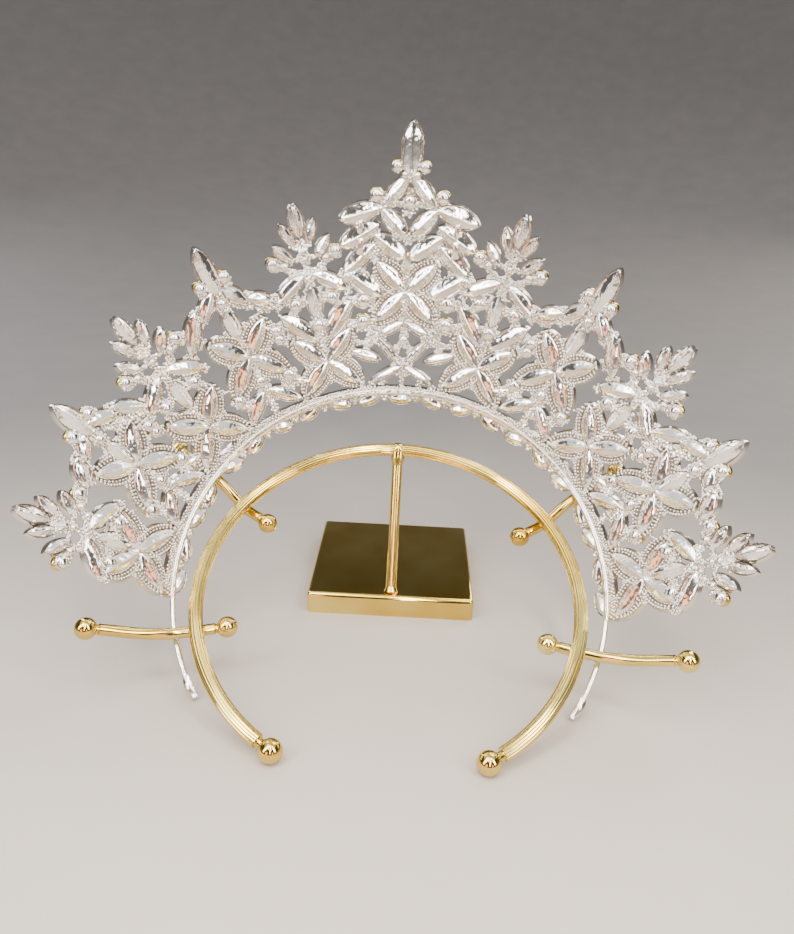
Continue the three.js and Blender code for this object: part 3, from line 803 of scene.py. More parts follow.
round_cups = on_columns(
    MIDDLE_ROUNDS,
    SPRIG_ROUNDS,
    TALL_SPRIG_ROUNDS,
    spire=SPIRE_ROUNDS,
    foot=FOOT_ROUNDS,
    lone=PAIR_ROUNDS,
)
rounds = lace_work()
for sheet, (across, up, radius) in round_cups + on_columns(sprig=SPRIG_COLLARS):
    dome(rounds, sheet, across, up, radius)
wrap(rounds)
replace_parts(piece_from("round_cups", rounds, silver_plate), "crown_lace")

# Links: short cast stems and straps that tie the cups together and stand the lace on the band.
# The stems are flattened sprues with granules on their backs, the straps are keeled,
# and knots of granules cover the places where cups meet.
LINK_LEVEL = 0.45
LINK_WIDEN = 1.35
LINK_FLAT = 0.75
LINK_SIDES = 10
# The links sit low between the cups and carry residue and painted shade.
LINK_PATINA_AND_SHADE = 0.45
GRANULE_PITCH = 1.5
GRANULE_RADIUS = 0.6
GRANULE_ASIDE = 0.55
GRANULE_RAISE = 0.6
KNOT_START = 0.3
KNOT_LEVEL = 0.4
KNOT_PILE = 0.8
GOLDEN_TURN = math.radians(137.5)
# Keeled straps of the sprigs and spires: the same columns as a cup's section.
STEM_SECTION = (
    (0.0, -0.35, -0.35, 0.05),
    (0.45, -0.25, -0.2, 0.15),
    (0.8, 0.1, 0.0, 0.4),
    (1.0, 0.5, 0.0, 0.5),
)
STEM_FULLNESS = (0.3, 0.3, 0.3, 0.3)
# Knots of granules: across, up and radius, measured as the cups of the same column are.
SPRIG_KNOTS = (
    (0, 12, 1.2),
    (2.8, 8.9, 1.3),
    (5.2, 3.9, 1.2),
    (5, 0.2, 1.1),
    (0, -1.4, 1.4),
    (12.8, -9.6, 1.7),
)
TALL_SPRIG_KNOTS = ((0.5, -23, 1.9), (0.5, -26.3, 1.5))
SPIRE_KNOTS = ((0, -0.6, 2.3), (2.6, 1.6, 1.6))
SPIRE_JOINTS = (((8.6, -9, 1.6), (-9.4, -6.8, 1.6)), ((10.2, -4.4, 1.6), (-8.9, -3.9, 1.5)))
FOOT_KNOTS = ((0, 20.2, 1.8), (8.6, 11.6, 2), (0, 9.5, 2), (0, 5.6, 1.8))
MIDDLE_KNOTS = (
    (0, 77, 1.8),
    (0, 66.8, 2.6),
    (9.3, 68.4, 1.8),
    (0, 57, 1.8),
    (12.7, 53.7, 1.9),
    (17.1, 53.2, 1.9),
    (20.6, 44.4, 2),
    (11.6, 32.2, 1.7),
    (18.4, 35.6, 2),
    (12.6, 25.4, 1.4),
    (13, 20, 1.5),
    (10.2, 22.6, 1.5),
    (0, 11, 1.2),
    (7, 4, 1.5),
    (11.3, 3.2, 1.5),
)
# Stems run from (across, up) to (across, up) with a width, as the cups do.
SPRIG_ARMS = (
    (1.2, -1.6, 4.8, 0.1, 1.2),
    (4.8, 0.1, 11.3, 4.6, 1.3),
    (0, 3.9, 4.6, 4, 1),
    (0, 6.2, 2.8, 9, 1.1),
    (0, -2.2, 3.4, -2.7, 1.5),
    (0, -10.4, 6.7, -11.4, 1.4),
    (0.8, 6.4, 0.9, 10.6, 0.8),
    (0, 6.4, 0, -6.2, 1.4),
)
SPIRE_STEMS = ((0, 0, 4.6, 1.8, 1.6), (0, 0, 0, -9, 1.6))
SPIRE_ARMS = (
    ((4.3, -7, 7.8, -11.8, 1.4), (10.4, -13.6, 18.6, -13.6, 1.6), (-8.8, -8, -10.4, -5.4, 1.4)),
    ((4.3, -5.6, 8.6, -9.4, 1.3), (9.4, -8.6, 17.4, -13.4, 1.5), (-8.4, -5, -10, -3, 1.4)),
)
FOOT_LINKS = ((0, 23, 0, 3.4, 1.6), (10.4, 14.6, 6.4, 8.6, 1.5))
SPRIG_FEET = ((10.8, 5, 11.4, 1.8, 1.5),)
# From a sprig's or a spire's lowest cup a stem runs down into the flower below.
SPRIG_STEM_TOP = 13
SPIRE_STEM_TOP = 18
STEM_IN_FLOWER = 4
STEM_WIDTH = 1.6
SPRIG_STRAP = (-14.6, 12.2, -8, 9.4, 2)
SPIRE_STRAP = (9.6, 34.6, 13, 31.6, 1.6)
MIDDLE_LINKS = (
    (0, 81, 0, 76, 2),
    (0, 79.6, 5.2, 81.6, 1.5),
    (8.4, 69.6, 12, 71.9, 1.5),
    (0, 68.8, 9.2, 68.2, 1.5),
    (0, 68.8, 0, 74, 1.5),
    (7.9, 68.8, 11.4, 66.6, 1.8),
    (17, 62.5, 17.4, 60, 1.8),
    (4.6, 55.6, 5, 61, 1.5),
    (10.8, 60.6, 11.4, 58.4, 1.6),
    (0, 56.6, 4.6, 58, 1.5),
    (0.2, 52, 0.2, 39, 2.2),
    (9.4, 51.4, 12.6, 54, 1.5),
    (11, 36, 15.1, 35, 1.8),
    (15.1, 35, 21, 36.4, 1.6),
    (10.6, 27.6, 15.2, 27.5, 1.6),
    (15.2, 27.5, 20.4, 26.6, 1.6),
    (12.8, 26, 13, 15, 1),
    (9.4, 20, 17.6, 20, 0.9),
    (0, 38, 0, 26, 1.8),
    (0, 22, 0, 26, 0.9),
    (0.6, 18.6, 3.4, 16.2, 0.8),
    (8.8, 20.6, 9.8, 22.4, 1.2),
    (9.6, 22.2, 15.2, 25.6, 1.1),
    (0, 11, 0, 1.8, 1.6),
)


def sprue(lace, place, link):
    """A flattened rod between two points of the unrolled lace, with granules along its back."""
    across, up, to_across, to_up, width = link
    start, end = place(across, up, LINK_LEVEL), place(to_across, to_up, LINK_LEVEL)
    way = end - start
    radius = LINK_WIDEN * width / 2
    flatten = Matrix.Translation((0, 0, LINK_LEVEL)) @ Matrix.Diagonal((1, 1, LINK_FLAT, 1))
    level = Matrix.Translation((0, 0, -LINK_LEVEL))
    work = lace_work()
    turned(work, (start + end) / 2, way, way.length, radius, radius, LINK_SIDES)
    bmesh.ops.transform(work, matrix=flatten @ level, verts=work.verts)
    given_stain_and_shade(work, work.verts, LINK_PATINA_AND_SHADE)
    pour(work, lace)
    aside = Vector((-way.y, way.x, 0)).normalized() * radius * GRANULE_ASIDE
    count = max(2, round(way.length / GRANULE_PITCH))
    spots = []
    for i in range(count):
        for hand in SIDES:
            at = start.lerp(end, (i + 0.5 + 0.25 * hand) / count) + aside * hand
            at.z = LINK_LEVEL - GRANULE_RAISE * radius
            size = GRANULE_RADIUS * (0.8 + 0.15 * ((i * 2 + hand) % 4))
            spots.append((at, size, 0.1 + 0.1 * (i % 3)))
    grains(lace, spots)


def cluster(lace, place, across, up, radius):
    """A knot of granules round a point where cups meet, piled highest in its middle."""
    count = round((radius / GRANULE_RADIUS) ** 2)
    spots = []
    for i in range(count):
        out = radius * math.sqrt((i + KNOT_START) / count)
        turn = i * GOLDEN_TURN
        height = KNOT_LEVEL - KNOT_PILE * (1 - out / radius)
        at = place(across + out * math.cos(turn), up + out * math.sin(turn), height)
        spots.append((at, GRANULE_RADIUS * (0.9 + 0.16 * (i * 5 % 4)), 0.05 + 0.1 * (i % 4)))
    grains(lace, spots)


link_rows = on_columns(
    MIDDLE_LINKS,
    SPRIG_ARMS,
    low=SPRIG_FEET,
    spire=SPIRE_STEMS,
    hands=SPIRE_ARMS,
    foot=FOOT_LINKS,
)
arm_rows = []
for side in SIDES:
    for turn, hub in SPRIGS:
        sheet = column(side, turn)
        low = FLOWER_UP["sprig"] + STEM_IN_FLOWER
        link_rows.append((sheet, (0, hub - SPRIG_STEM_TOP, 0, low, STEM_WIDTH)))
        if turn < SPRIGS[-1][0]:
            arm_rows.append((sheet, SPRIG_STRAP))
    for turn, foot, length in SPIRES:
        sheet = column(side, turn)
        low = FLOWER_UP["spire"] + STEM_IN_FLOWER
        link_rows.append((sheet, (0, foot - SPIRE_STEM_TOP, 0, low, STEM_WIDTH)))
        arm_rows.append((sheet, SPIRE_STRAP))
knots = on_columns(
    MIDDLE_KNOTS,
    SPRIG_KNOTS,
    TALL_SPRIG_KNOTS,
    spire=SPIRE_KNOTS,
    hands=SPIRE_JOINTS,
    foot=FOOT_KNOTS,
)

links = lace_work()
for sheet, link in link_rows:
    sprue(links, sheet, link)
for sheet, link in arm_rows:
    boat(links, sheet, link[:4] + (LINK_WIDEN * link[4],), STEM_SECTION, STEM_FULLNESS)
for sheet, (across, up, radius) in knots:
    cluster(links, sheet, across, up, radius)
wrap(links)
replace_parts(piece_from("links", links, silver_plate), "crown_lace")

# Tabs: short flat brass bars, soldered across the backs where two cups need holding together.
# They lie on the keels, so they catch the light as small flat mirrors.
TAB_BACK = -2.1
TAB_FRONT = -0.4
TAB_BEVEL = 0.25
TAB_BEVEL_STEPS = 2
TAB_PATINA = 0.3
MIDDLE_TABS = ((0, 52.6, 0, 46.8, 2), (16.9, 62.8, 17.3, 59.4, 1.3), (16.6, 56.8, 17.1, 52.2, 1.9))


def tab(lace, place, bar):
    """A flat bar with broken edges between two points, on the backs of the cups."""
    across, up, to_across, to_up, width = bar
    start, end = place(across, up, 0), place(to_across, to_up, 0)
    way = end - start
    work = lace_work()
    bmesh.ops.create_cube(work, size=1)
    bmesh.ops.scale(work, vec=(way.length, width, TAB_FRONT - TAB_BACK), verts=work.verts)
    round_edges(work, work.edges[:], TAB_BEVEL, TAB_BEVEL_STEPS)
    turn = Matrix.Rotation(math.atan2(way.y, way.x), 4, "Z")
    spot = (start + end) / 2 + Vector((0, 0, (TAB_BACK + TAB_FRONT) / 2))
    bmesh.ops.transform(work, matrix=Matrix.Translation(spot) @ turn, verts=work.verts)
    given_stain_and_shade(work, work.verts, TAB_PATINA)
    pour(work, lace)


tabs = lace_work()
for bar in both_hands(MIDDLE_TABS):
    tab(tabs, middle, bar)
wrap(tabs)
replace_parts(piece_from("tabs", tabs, silver_plate), "crown_lace")

# Webs: the thin granular skin of the casting between neighbouring cups, made here of small beads.
# It closes the narrow gaps and leaves the small openings of the pattern.
LACE_END = 98
WEB_PITCH = 0.74
WEB_ROW_SHARE = 0.87
WEB_JITTER = 0.15
WEB_RADIUS = 0.56
WEB_SPAN = 1.7
WEB_SINK = 0.4
WEB_LEVEL = 0.35
WEB_STEP = 0.12
WEB_LOW = 4.2
WEB_HIGH = 56
WEB_LOOK = 6.6
LINK_FULLNESS = 0.1
HALF_DISCS = 4
# Openings: across, up and radius, measured as the cups of the same column are.
SPRIG_OPENINGS = ((2.5, 6, 0.8), (3, 2, 1.6), (3.4, -4.9, 2), (3.7, -14.8, 2.3))
FLOWER_OPENINGS = ((14.4, 22.2, 1.9), (12.6, 18.2, 1.9), (10.3, 14.1, 1.7), (13, 7.9, 1.3))
SPIRE_OPENINGS = (
    (4.6, -11.2, 1.2),
    (9, -13.4, 1.2),
    (2.9, -4.2, 0.7),
    (-6.8, -12.2, 1.8),
    (-11.2, -16.6, 2),
)
MIDDLE_OPENINGS = (
    (1.5, 79.2, 0.5),
    (0, 72.9, 1.4),
    (4.4, 67.3, 1.3),
    (0, 61.5, 1.7),
    (0, 53.3, 1.7),
    (8.9, 60.8, 1.9),
    (12.6, 46.9, 2.1),
    (2.2, 48.6, 0.8),
    (7.2, 38.2, 0.8),
    (9.9, 35.2, 1.2),
    (14, 31.2, 2),
    (0, 30.7, 1.6),
    (8.5, 27.5, 1),
    (18.2, 34.8, 1.3),
    (0, 26, 0.9),
    (10.8, 23.2, 1.1),
    (14, 23.2, 1.1),
    (4.6, 19.2, 1.4),
    (0, 15, 1.5),
    (10.7, 16.2, 1.4),
    (15.5, 16.4, 1.2),
    (4.7, 11.3, 1),
    (9, 8.6, 1),
    (13.6, 9.4, 1),
    (0, 8.4, 0.8),
    (3.3, 5.6, 1.1),
    (12.8, 5, 1.6),
)


def discs(place, cup, fullness):
    """Circles along a cup that fill its outline: each a place on the cone and a radius."""
    stops = [i / HALF_DISCS - 1 for i in range(2 * HALF_DISCS + 1)]
    return [(on_cone(along_cup(place, cup, a, 0, 0)), half_width(cup, 1, a, fullness)) for a in stops]


shapes = [discs(sheet, cup, CUP_FULLNESS) for sheet, cup in inner_cups]
shapes += [discs(sheet, cup, PETAL_FULLNESS[-1]) for sheet, cup in petal_cups]
for sheet, link in link_rows + arm_rows:
    shapes.append(discs(sheet, link[:4] + (LINK_WIDEN * link[4],), LINK_FULLNESS))
shapes += [[(on_cone(sheet(across, up, 0)), radius)] for sheet, (across, up, radius) in round_cups]
rims = [(at, radius, shape) for shape, circles in enumerate(shapes) for at, radius in circles]
finder = KDTree(len(rims))
for i, (at, radius, shape) in enumerate(rims):
    finder.insert(at, i)
finder.balance()

holes = on_columns(MIDDLE_OPENINGS, SPRIG_OPENINGS, low=FLOWER_OPENINGS, spire=SPIRE_OPENINGS)
openings = [(on_cone(sheet(across, up, 0)), radius) for sheet, (across, up, radius) in holes]

spots = []
for row in range(round((WEB_HIGH - WEB_LOW) / (WEB_ROW_SHARE * WEB_PITCH))):
    up = WEB_LOW + row * WEB_ROW_SHARE * WEB_PITCH
    count = round(2 * math.radians(LACE_END) * (HEADBAND_RADIUS + up * math.sin(FLARE)) / WEB_PITCH)
    for i in range(count):
        turn = math.radians(LACE_END) * (2 * (i + row % 2 / 2) / count - 1)
        at = Vector((turn * UNROLLED, up + WEB_JITTER * math.sin(5 * i + 3 * row), 0))
        spot = on_cone(at)
        gaps = {}
        for near, index, far in finder.find_range(spot, WEB_LOOK):
            radius, shape = rims[index][1:]
            gaps[shape] = min(far - radius, gaps.get(shape, WEB_LOOK))
        nearest = sorted(gaps.values())[:2]
        if len(nearest) < 2 or nearest[0] < -WEB_SINK or sum(nearest) > WEB_SPAN:
            continue
        if any((spot - hole).length < radius for hole, radius in openings):
            continue
        at.z = WEB_LEVEL - WEB_STEP * (i * 3 % 4)
        spots.append((at, WEB_RADIUS * (0.9 + 0.08 * (i * 5 % 4)), 0.1 * ((i * 5 + row * 3) % 4)))

webs = lace_work()
grains(webs, spots)
wrap(webs)
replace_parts(piece_from("webs", webs, silver_plate, BEAD_CREASE), "crown_lace")

# Band: a flat cast strip soldered on the head wire, the foot of all the columns, narrowest in the
# middle. A smooth rail runs along its lower edge, granulation covers the rest of its back,
# and its front carries one row of larger beads.
BAND_LOW = -0.1
BAND_MIDDLE = 2.5
BAND_HIGH = 3.9
# Between these turns, in degrees, the band's upper edge climbs from its middle to its full height.
BAND_RISE = (22, 42)
BAND_BACK = -0.8
BAND_FRONT = 1.55
BAND_STEPS = 120
BAND_CREASE = 60
# The back's ground between the beads carries residue and painted shade.
BACK_PATINA_AND_SHADE = 0.6
FRONT_PATINA = 0.15
# Rows of beads: share of the band's height, bead radius.
BAND_ROWS = ((0.46, 0.5), (0.69, 0.54), (0.92, 0.5))
BAND_GRAINS = 230
BAND_JITTER = 0.3
BAND_SWAY = 0.15
BAND_VARIETY = 0.22
FACE_GRAINS = 112
FACE_RADIUS = 1.1
RAIL_UP = 0.95
RAIL_RADIUS = 0.48


def band_top(turn_deg):
    """How far up the slant the band reaches at a turn round the head."""
    first, last = BAND_RISE
    share = min(1, max(0, (abs(turn_deg) - first) / (last - first)))
    return BAND_MIDDLE + (BAND_HIGH - BAND_MIDDLE) * share


band = lace_work()
strip = bmesh.ops.create_cube(band, size=1)["verts"]
for v in strip:
    given_stain_and_shade(band, [v], FRONT_PATINA if v.co.z > 0 else BACK_PATINA_AND_SHADE)
    v.co = Vector((
        math.radians(LACE_END) * UNROLLED * 2 * v.co.x,
        BAND_HIGH if v.co.y > 0 else BAND_LOW,
        BAND_FRONT if v.co.z > 0 else BAND_BACK,
    ))
long_edges = [e for e in band.edges if e.verts[0].co.x * e.verts[1].co.x < 0]
bmesh.ops.subdivide_edges(band, edges=long_edges, cuts=BAND_STEPS - 1, use_grid_fill=True)
for v in band.verts:
    if v.co.y > BAND_MIDDLE:
        v.co.y = band_top(math.degrees(v.co.x / UNROLLED))
spots = []
for row, (share, radius) in enumerate(BAND_ROWS):
    for i in range(BAND_GRAINS):
        order = i + 0.5 + 0.5 * row + BAND_JITTER * math.sin(7 * i)
        turn = -LACE_END + 2 * LACE_END * order / (BAND_GRAINS + 1)
        up = BAND_LOW + share * (band_top(turn) - BAND_LOW) + BAND_SWAY * math.sin(11 * i + row)
        at = Vector((math.radians(turn) * UNROLLED, up, BAND_BACK))
        size = radius * (1 + BAND_VARIETY * math.sin(5 * i + 2 * row))
        spots.append((at, size, 0.05 * ((i * 7 + row * 3) % 5)))
for i in range(FACE_GRAINS):
    turn = math.radians(LACE_END) * (2 * (i + 0.5) / FACE_GRAINS - 1)
    up = (BAND_LOW + band_top(math.degrees(turn))) / 2
    spots.append((Vector((turn * UNROLLED, up, BAND_FRONT)), FACE_RADIUS, 0.0))
grains(band, spots)
wrap(band)
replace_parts(piece_from("band", band, silver_plate, BAND_CREASE), "crown_lace")
rail = hoop(RAIL_UP, BAND_BACK, math.radians(LACE_END), RAIL_RADIUS)
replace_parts(piece_from("band_rail", rail, silver_plate), "crown_lace")

# Fringe: small cast drop cups along the front lower edge of the band, with small beads between them.
# They lean to each other in pairs. From behind, only their lower halves show past the head wire.
FRINGE_PITCH = 9.3
FRINGE_COUNT = 21
DROP_LENGTH = 8.8
DROP_WIDTH = 5.6
DROP_UP = -2.7
DROP_LEAN = math.radians(20)
DROP_LIFT = 1.3
DROP_FULLNESS = 0.68
FRINGE_BEADS = ((5.3, -2.2, 1.35), (6.7, -2.2, 1.35), (6, -3.3, 1.2))
FRINGE_BEAD_LIFT = 0.3
FRINGE_BEAD_PATINA = 0.3
# The upper pegs pass beside these drops, counted from the left, so no beads stand there.
PEG_GAPS = (4, 17)
# The drops on the pegs' far side, counted from the middle, stand a little further out to clear them.
PEG_DROP = 7
PEG_ROOM = 1.9

drops = []
for i in range(FRINGE_COUNT):
    step = i - FRINGE_COUNT // 2
    lean = 0 if step == 0 else math.copysign(DROP_LEAN, step) * (1 if step % 2 else -1)
    over, down = DROP_LENGTH / 2 * math.cos(lean), DROP_LENGTH / 2 * math.sin(lean)
    aside = -math.copysign(PEG_ROOM, step) if abs(step) == PEG_DROP else 0
    tips = (aside + over, DROP_UP + down, aside - over, DROP_UP - down, DROP_WIDTH)
    drops.append((column(1, FRINGE_PITCH * step), tips))

fringe = lace_work()
spots = []
for i, (sheet, drop) in enumerate(drops):
    boat(fringe, sheet, drop, CUP_SECTION, [DROP_FULLNESS] * len(CUP_SECTION), DROP_LIFT)
    if i > 0 and i not in PEG_GAPS:
        for across, up, radius in FRINGE_BEADS:
            spots.append((sheet(across, up, DROP_LIFT + FRINGE_BEAD_LIFT), radius, FRINGE_BEAD_PATINA))
grains(fringe, spots)
wrap(fringe)
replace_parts(piece_from("fringe", fringe, silver_plate), "crown_lace")

# Comb ends: the wire's tips, hammered to a small silver-plated leaf with a row of tiny grains.
# They slide into the hair, and here they stand on the table.
COMB_LENGTH = 7.6
COMB_WIDTH = 2.5
COMB_LIFT = -0.6
COMB_INSET = 0.2
COMB_GRAINS = 5
COMB_ROW = 1.3
COMB_RAISE = 1.9
COMB_GRAIN_RADIUS = 0.55
COMB_TAPER = 0.25
combs = lace_work()
spots = []
for side in SIDES:
    sheet = column(side, math.degrees(WIRE_END) - COMB_INSET)
    leaf = (COMB_LENGTH, 0, 0, 0, COMB_WIDTH)
    boat(combs, sheet, leaf, STEM_SECTION, lift=COMB_LIFT)
    for i in range(COMB_GRAINS):
        along = COMB_ROW * (i + 0.5) / COMB_GRAINS - COMB_ROW / 2
        at = along_cup(sheet, leaf, along, 0, COMB_RAISE * COMB_LIFT)
        spots.append((at, COMB_GRAIN_RADIUS - COMB_TAPER * abs(along), 0.0))
grains(combs, spots)
wrap(combs)
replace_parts(piece_from("comb_ends", combs, silver_plate), "crown_lace")

# Cut stones: clear foiled crystal, marquise cut with a table and two tiers of crown facets.
# They sit in the front of every marquise cup, petal and drop, held by the cup's lip.
STONE_SIDES = 12
STONE_SEAT = 1.25
SMALL_TABLE = 2.7
MAIN_TABLE = 3.4
FACET_CREASE = 5
# A stone's levels from its seat to its table: share of its outline, share of its height.
STONE_LEVELS = ((0.0, 0.0), (0.84, 0.0), (0.84, 0.35), (0.66, 0.75), (0.44, 1.0), (0.0, 1.0))

# Foiled lead crystal: clear glass over a mirror foil, so each polished facet shines like a mirror.
# The glass splits the light a little, which leaves faint blue, warm and violet patches.
CRYSTAL_FIRE = 2.5 * MM
crystal, tree, coords = finish_of("foiled_crystal")
fire = add_node(tree, "ShaderNodeTexNoise", {"Vector": coords, "Scale": 1 / CRYSTAL_FIRE, "Detail": 1.0})
tone = add_node(tree, "ShaderNodeValToRGB", {"Fac": fire.outputs["Fac"]})
tone.color_ramp.elements[0].position = 0.3
tone.color_ramp.elements[0].color = linear("#c8d6ee")
tone.color_ramp.elements[1].position = 0.72
tone.color_ramp.elements[1].color = linear("#efe2fa")
tone.color_ramp.elements.new(0.46).color = linear("#ffffff")
tone.color_ramp.elements.new(0.58).color = linear("#fff3e4")
shader = add_node(
    tree,
    "ShaderNodeBsdfPrincipled",
    {
        "Base Color": tone.outputs["Color"],
        "Metallic": 1.0,
        "Roughness": 0.05,
        "Coat Weight": 1.0,
        "Coat Roughness": 0.01,
    },
)
add_node(tree, "ShaderNodeOutputMaterial", {"Surface": shader.outputs["BSDF"]})


def cut_stone(work, place, cup, table, lift=0.0):
    """A marquise stone, from a globe whose rings take the levels above."""
    levels = len(STONE_LEVELS) - 1
    globe = bmesh.ops.create_uvsphere(work, u_segments=STONE_SIDES, v_segments=levels, radius=1)["verts"]
    for v in globe:
        share, rise = STONE_LEVELS[globe_level(v, levels)]
        turn = math.atan2(v.co.y, v.co.x)
        wide = math.copysign(math.sin(turn) ** 2, math.sin(turn)) * share * cup[4] / 2
        height = lift + STONE_SEAT + rise * (table - STONE_SEAT)
        v.co = along_cup(place, cup, share * math.cos(turn), wide, height)


MAIN_NODES = ["stone_spire_middle"]
for hand in ("left", "right"):
    MAIN_NODES += [f"stone_{name}_{hand}" for name in ("peak", "heart", "wing", "low_wing", "chin")]
    MAIN_NODES += [f"stone_spire_{hand}_{name}" for name in ("inner", "outer")]
main_stones = bmesh.new()
for sheet, cup in main_cups:
    cut_stone(main_stones, sheet, cup, MAIN_TABLE)
wrap(main_stones)
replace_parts(piece_from("main_stones", main_stones, crystal, FACET_CREASE), *MAIN_NODES)

small_stones = bmesh.new()
for sheet, cup in small_cups + petal_cups:
    cut_stone(small_stones, sheet, cup, SMALL_TABLE)
for sheet, drop in drops:
    cut_stone(small_stones, sheet, drop, SMALL_TABLE, DROP_LIFT)
wrap(small_stones)
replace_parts(piece_from("small_stones", small_stones, crystal, FACET_CREASE), "crown_lace")

# Gold beads: hollow gilt balls pressed into the round cups, proud of the crown's front.
# From behind, each shows as a thin crescent beside its cup.
BEAD_OVER = 1.1
BEAD_HEIGHT = 1.9
BEAD_RISE = 1.8
BEAD_UP = 0.3
beads = bmesh.new()
for sheet, (across, up, radius) in round_cups:
    at = sheet(across, up + BEAD_UP, BEAD_HEIGHT)
    reach = HEADBAND_RADIUS + up * math.sin(FLARE)
    size = Matrix.Diagonal((BEAD_OVER * radius * UNROLLED / reach, BEAD_OVER * radius, BEAD_RISE, 1))
    bmesh.ops.create_icosphere(beads, subdivisions=2, radius=1, matrix=Matrix.Translation(at) @ size)
wrap(beads)
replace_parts(piece_from("gold_beads", beads, gold_plate), "crown_lace")

# Stage: a plain pale floor that curves up to a wall all round, soft lights, and a camera
# where the photo's was. The paper is palest in front of the crown and falls off to grey.
COVE_FLAT = 600
COVE_CURVE = 1400
COVE_HIGH = 2000
COVE_STEPS = 32
COVE_SIDES = 96
floor_work = bmesh.new()
rim = floor_work.verts.new((COVE_FLAT, 0, 0))
floor_work.edges.new((floor_work.verts.new((0, 0, 0)), rim))
curve = bmesh.ops.spin(
    floor_work,
    geom=[rim],
    cent=(COVE_FLAT, 0, COVE_CURVE),
    axis=(0, 1, 0),
    angle=-math.pi / 2,
    steps=COVE_STEPS,
)["geom_last"]
wall = floor_work.verts.new((COVE_FLAT + COVE_CURVE, 0, COVE_HIGH))
floor_work.edges.new((curve[0], wall))
bmesh.ops.spin(
    floor_work,
    geom=floor_work.verts[:] + floor_work.edges[:],
    cent=(0, 0, 0),
    axis=(0, 0, 1),
    angle=2 * math.pi,
    steps=COVE_SIDES,
    use_merge=True,
)
bmesh.ops.remove_doubles(floor_work, verts=floor_work.verts, dist=SAME_SPOT)
bmesh.ops.recalc_face_normals(floor_work, faces=floor_work.faces[:])
to_metres(floor_work)
floor_mesh = bpy.data.meshes.new("floor")
for face in floor_work.faces:
    face.smooth = True
floor_work.to_mesh(floor_mesh)
floor_work.free()
floor = bpy.data.objects.new("floor", floor_mesh)
bpy.context.collection.objects.link(floor)

# Matt studio paper with a painted pool of light: pale before the crown, and greyer in the distance
# in a painted falloff of the light. Its fibres show as faint clouds, drawn coarse enough to see.
PAPER_CLOUD = 30 * MM
PAPER_SPECK = 0.08
LIGHT_POOL_FORWARD = 260 * MM
LIGHT_POOL_REACH = 620 * MM
LIGHT_POOL_FADE = 0.92
paper, tree, coords = finish_of("pale_studio_paper")
fibre = add_node(tree, "ShaderNodeTexNoise", {"Vector": coords, "Scale": 1 / PAPER_CLOUD, "Detail": 4.0})
away = add_node(tree, "ShaderNodeVectorMath", {0: coords, 1: (0, -LIGHT_POOL_FORWARD, 0)}, operation="DISTANCE")
painted_falloff = add_node(
    tree,
    "ShaderNodeMapRange",
    {"Value": away.outputs["Value"], "From Max": LIGHT_POOL_REACH, "To Max": LIGHT_POOL_FADE},
    interpolation_type="SMOOTHERSTEP",
)
fibre_and_painted_falloff = add_node(
    tree,
    "ShaderNodeMath",
    {0: fibre.outputs["Fac"], 1: PAPER_SPECK, 2: painted_falloff.outputs["Result"]},
    operation="MULTIPLY_ADD",
)
# The ramp runs from the pale paper to the painted grey of the falloff.
tone = add_node(tree, "ShaderNodeValToRGB", {"Fac": fibre_and_painted_falloff.outputs["Value"]})
tone.color_ramp.elements[0].color = linear("#ccc0b2")
tone.color_ramp.elements[1].color = linear("#5e5b59")
shader = add_node(tree, "ShaderNodeBsdfPrincipled", {"Base Color": tone.outputs["Color"], "Roughness": 0.7})
add_node(tree, "ShaderNodeOutputMaterial", {"Surface": shader.outputs["BSDF"]})
floor_mesh.materials.append(paper)

# The room above: dark at the floor's level and bright overhead.
world = bpy.data.worlds.new("studio")
world.use_nodes = True
sky = world.node_tree
sky.nodes.clear()
sky_way = add_node(sky, "ShaderNodeTexCoord").outputs["Generated"]
sky_height = add_node(sky, "ShaderNodeSeparateXYZ", {"Vector": sky_way}).outputs["Z"]
light = add_node(sky, "ShaderNodeValToRGB", {"Fac": sky_height})
light.color_ramp.elements[0].position = 0.0
light.color_ramp.elements[0].color = linear("#474645")
light.color_ramp.elements[1].position = 0.75
light.color_ramp.elements[1].color = linear("#f2f3f5")
light.color_ramp.elements.new(0.25).color = linear("#838180")
glow = add_node(sky, "ShaderNodeBackground", {"Color": light.outputs["Color"], "Strength": 1.3})
add_node(sky, "ShaderNodeOutputWorld", {"Surface": glow.outputs["Background"]})
bpy.context.scene.world = world
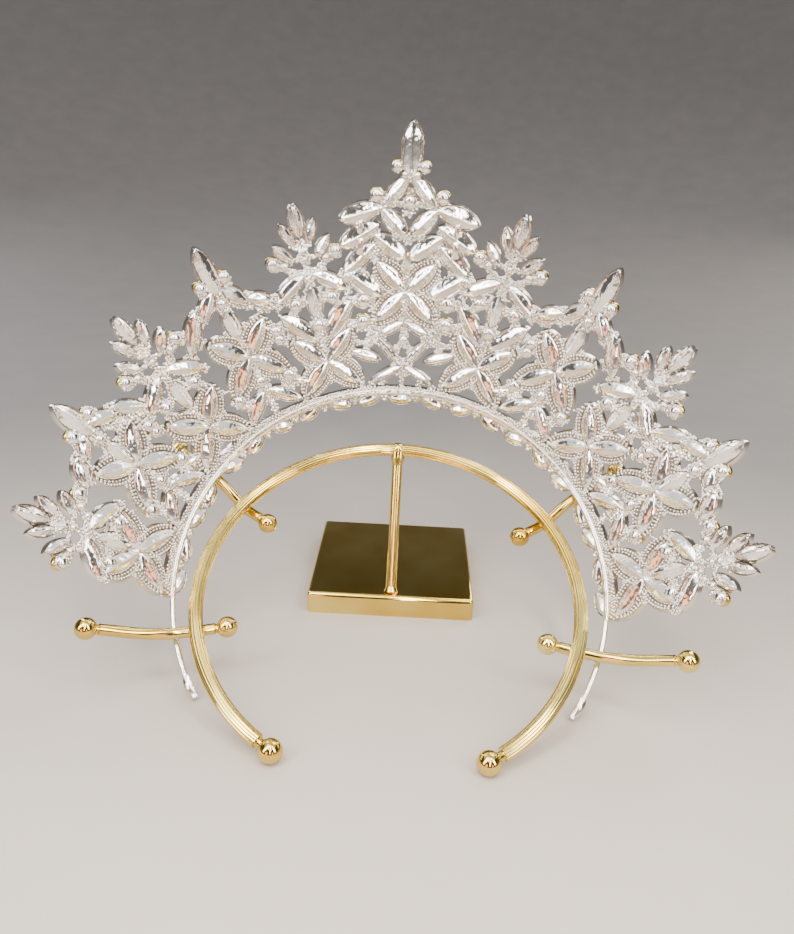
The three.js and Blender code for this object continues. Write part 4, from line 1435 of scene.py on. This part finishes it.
# Lamps: name, place, width and length in millimetres, power in watts, colour.
LAMPS = (
    ("top_box", (-200, -300, 900), 600, 600, 5, "#fffaf2"),
    ("ceiling_left", (-420, -420, 850), 120, 800, 4.5, "#ffffff"),
    ("ceiling_middle", (90, -500, 800), 60, 800, 4, "#fff8ee"),
    ("ceiling_right", (480, -350, 820), 120, 800, 4.5, "#f6f9ff"),
    ("left_strip", (-700, -500, 560), 240, 700, 6, "#f2f6ff"),
    ("right_strip", (700, -550, 600), 240, 700, 6, "#fff7ee"),
    ("front_strip", (60, -900, 480), 60, 500, 2.5, "#ffffff"),
    ("warm_card_left", (-350, -750, 220), 220, 340, 1.1, "#e89a66"),
    ("warm_card_right", (360, -750, 200), 150, 280, 0.6, "#e89a72"),
    ("back_box", (450, 600, 900), 500, 500, 5, "#ffffff"),
    ("back_left", (-520, 560, 560), 120, 700, 3, "#f2f6ff"),
    ("back_right", (480, 650, 540), 120, 700, 3, "#fff4e6"),
)
LAMP_AIM = Vector((0, 0, 70 * MM))
for name, place, wide, long, power, colour in LAMPS:
    lamp = bpy.data.lights.new(name, "AREA")
    lamp.shape = "RECTANGLE"
    lamp.size = wide * MM
    lamp.size_y = long * MM
    lamp.energy = power
    lamp.color = linear(colour)[:3]
    holder = bpy.data.objects.new(name, lamp)
    holder.location = Vector(place) * MM
    aim = LAMP_AIM - holder.location
    holder.rotation_euler = aim.to_track_quat("-Z", "Y").to_euler()
    bpy.context.collection.objects.link(holder)

# The camera stands behind the crown; its height and distance are from the floor and the base's front.
CAMERA_HEIGHT = 168.8
CAMERA_BACK = 261.6
CAMERA_RIGHT = 2.9
CAMERA_PITCH = math.radians(22.16)
CAMERA_YAW = math.radians(0.6)
CAMERA_ROLL = math.radians(2.77)
CAMERA_SENSOR = 36
CAMERA_LENS = 36
CAMERA_NEAR = 10
lens = bpy.data.cameras.new("camera")
lens.sensor_fit = "HORIZONTAL"
lens.sensor_width = CAMERA_SENSOR
lens.lens = CAMERA_LENS
lens.clip_start = CAMERA_NEAR * MM
camera = bpy.data.objects.new("camera", lens)
camera_place = Vector((CAMERA_RIGHT, base_low.y - CAMERA_BACK, CAMERA_HEIGHT)) * MM
tilted = Matrix.Rotation(math.pi / 2 - CAMERA_PITCH, 4, "X")
aimed = Matrix.Rotation(CAMERA_YAW, 4, "Z") @ tilted @ Matrix.Rotation(CAMERA_ROLL, 4, "Z")
camera.matrix_world = Matrix.Translation(camera_place) @ aimed
bpy.context.collection.objects.link(camera)
bpy.context.scene.camera = camera
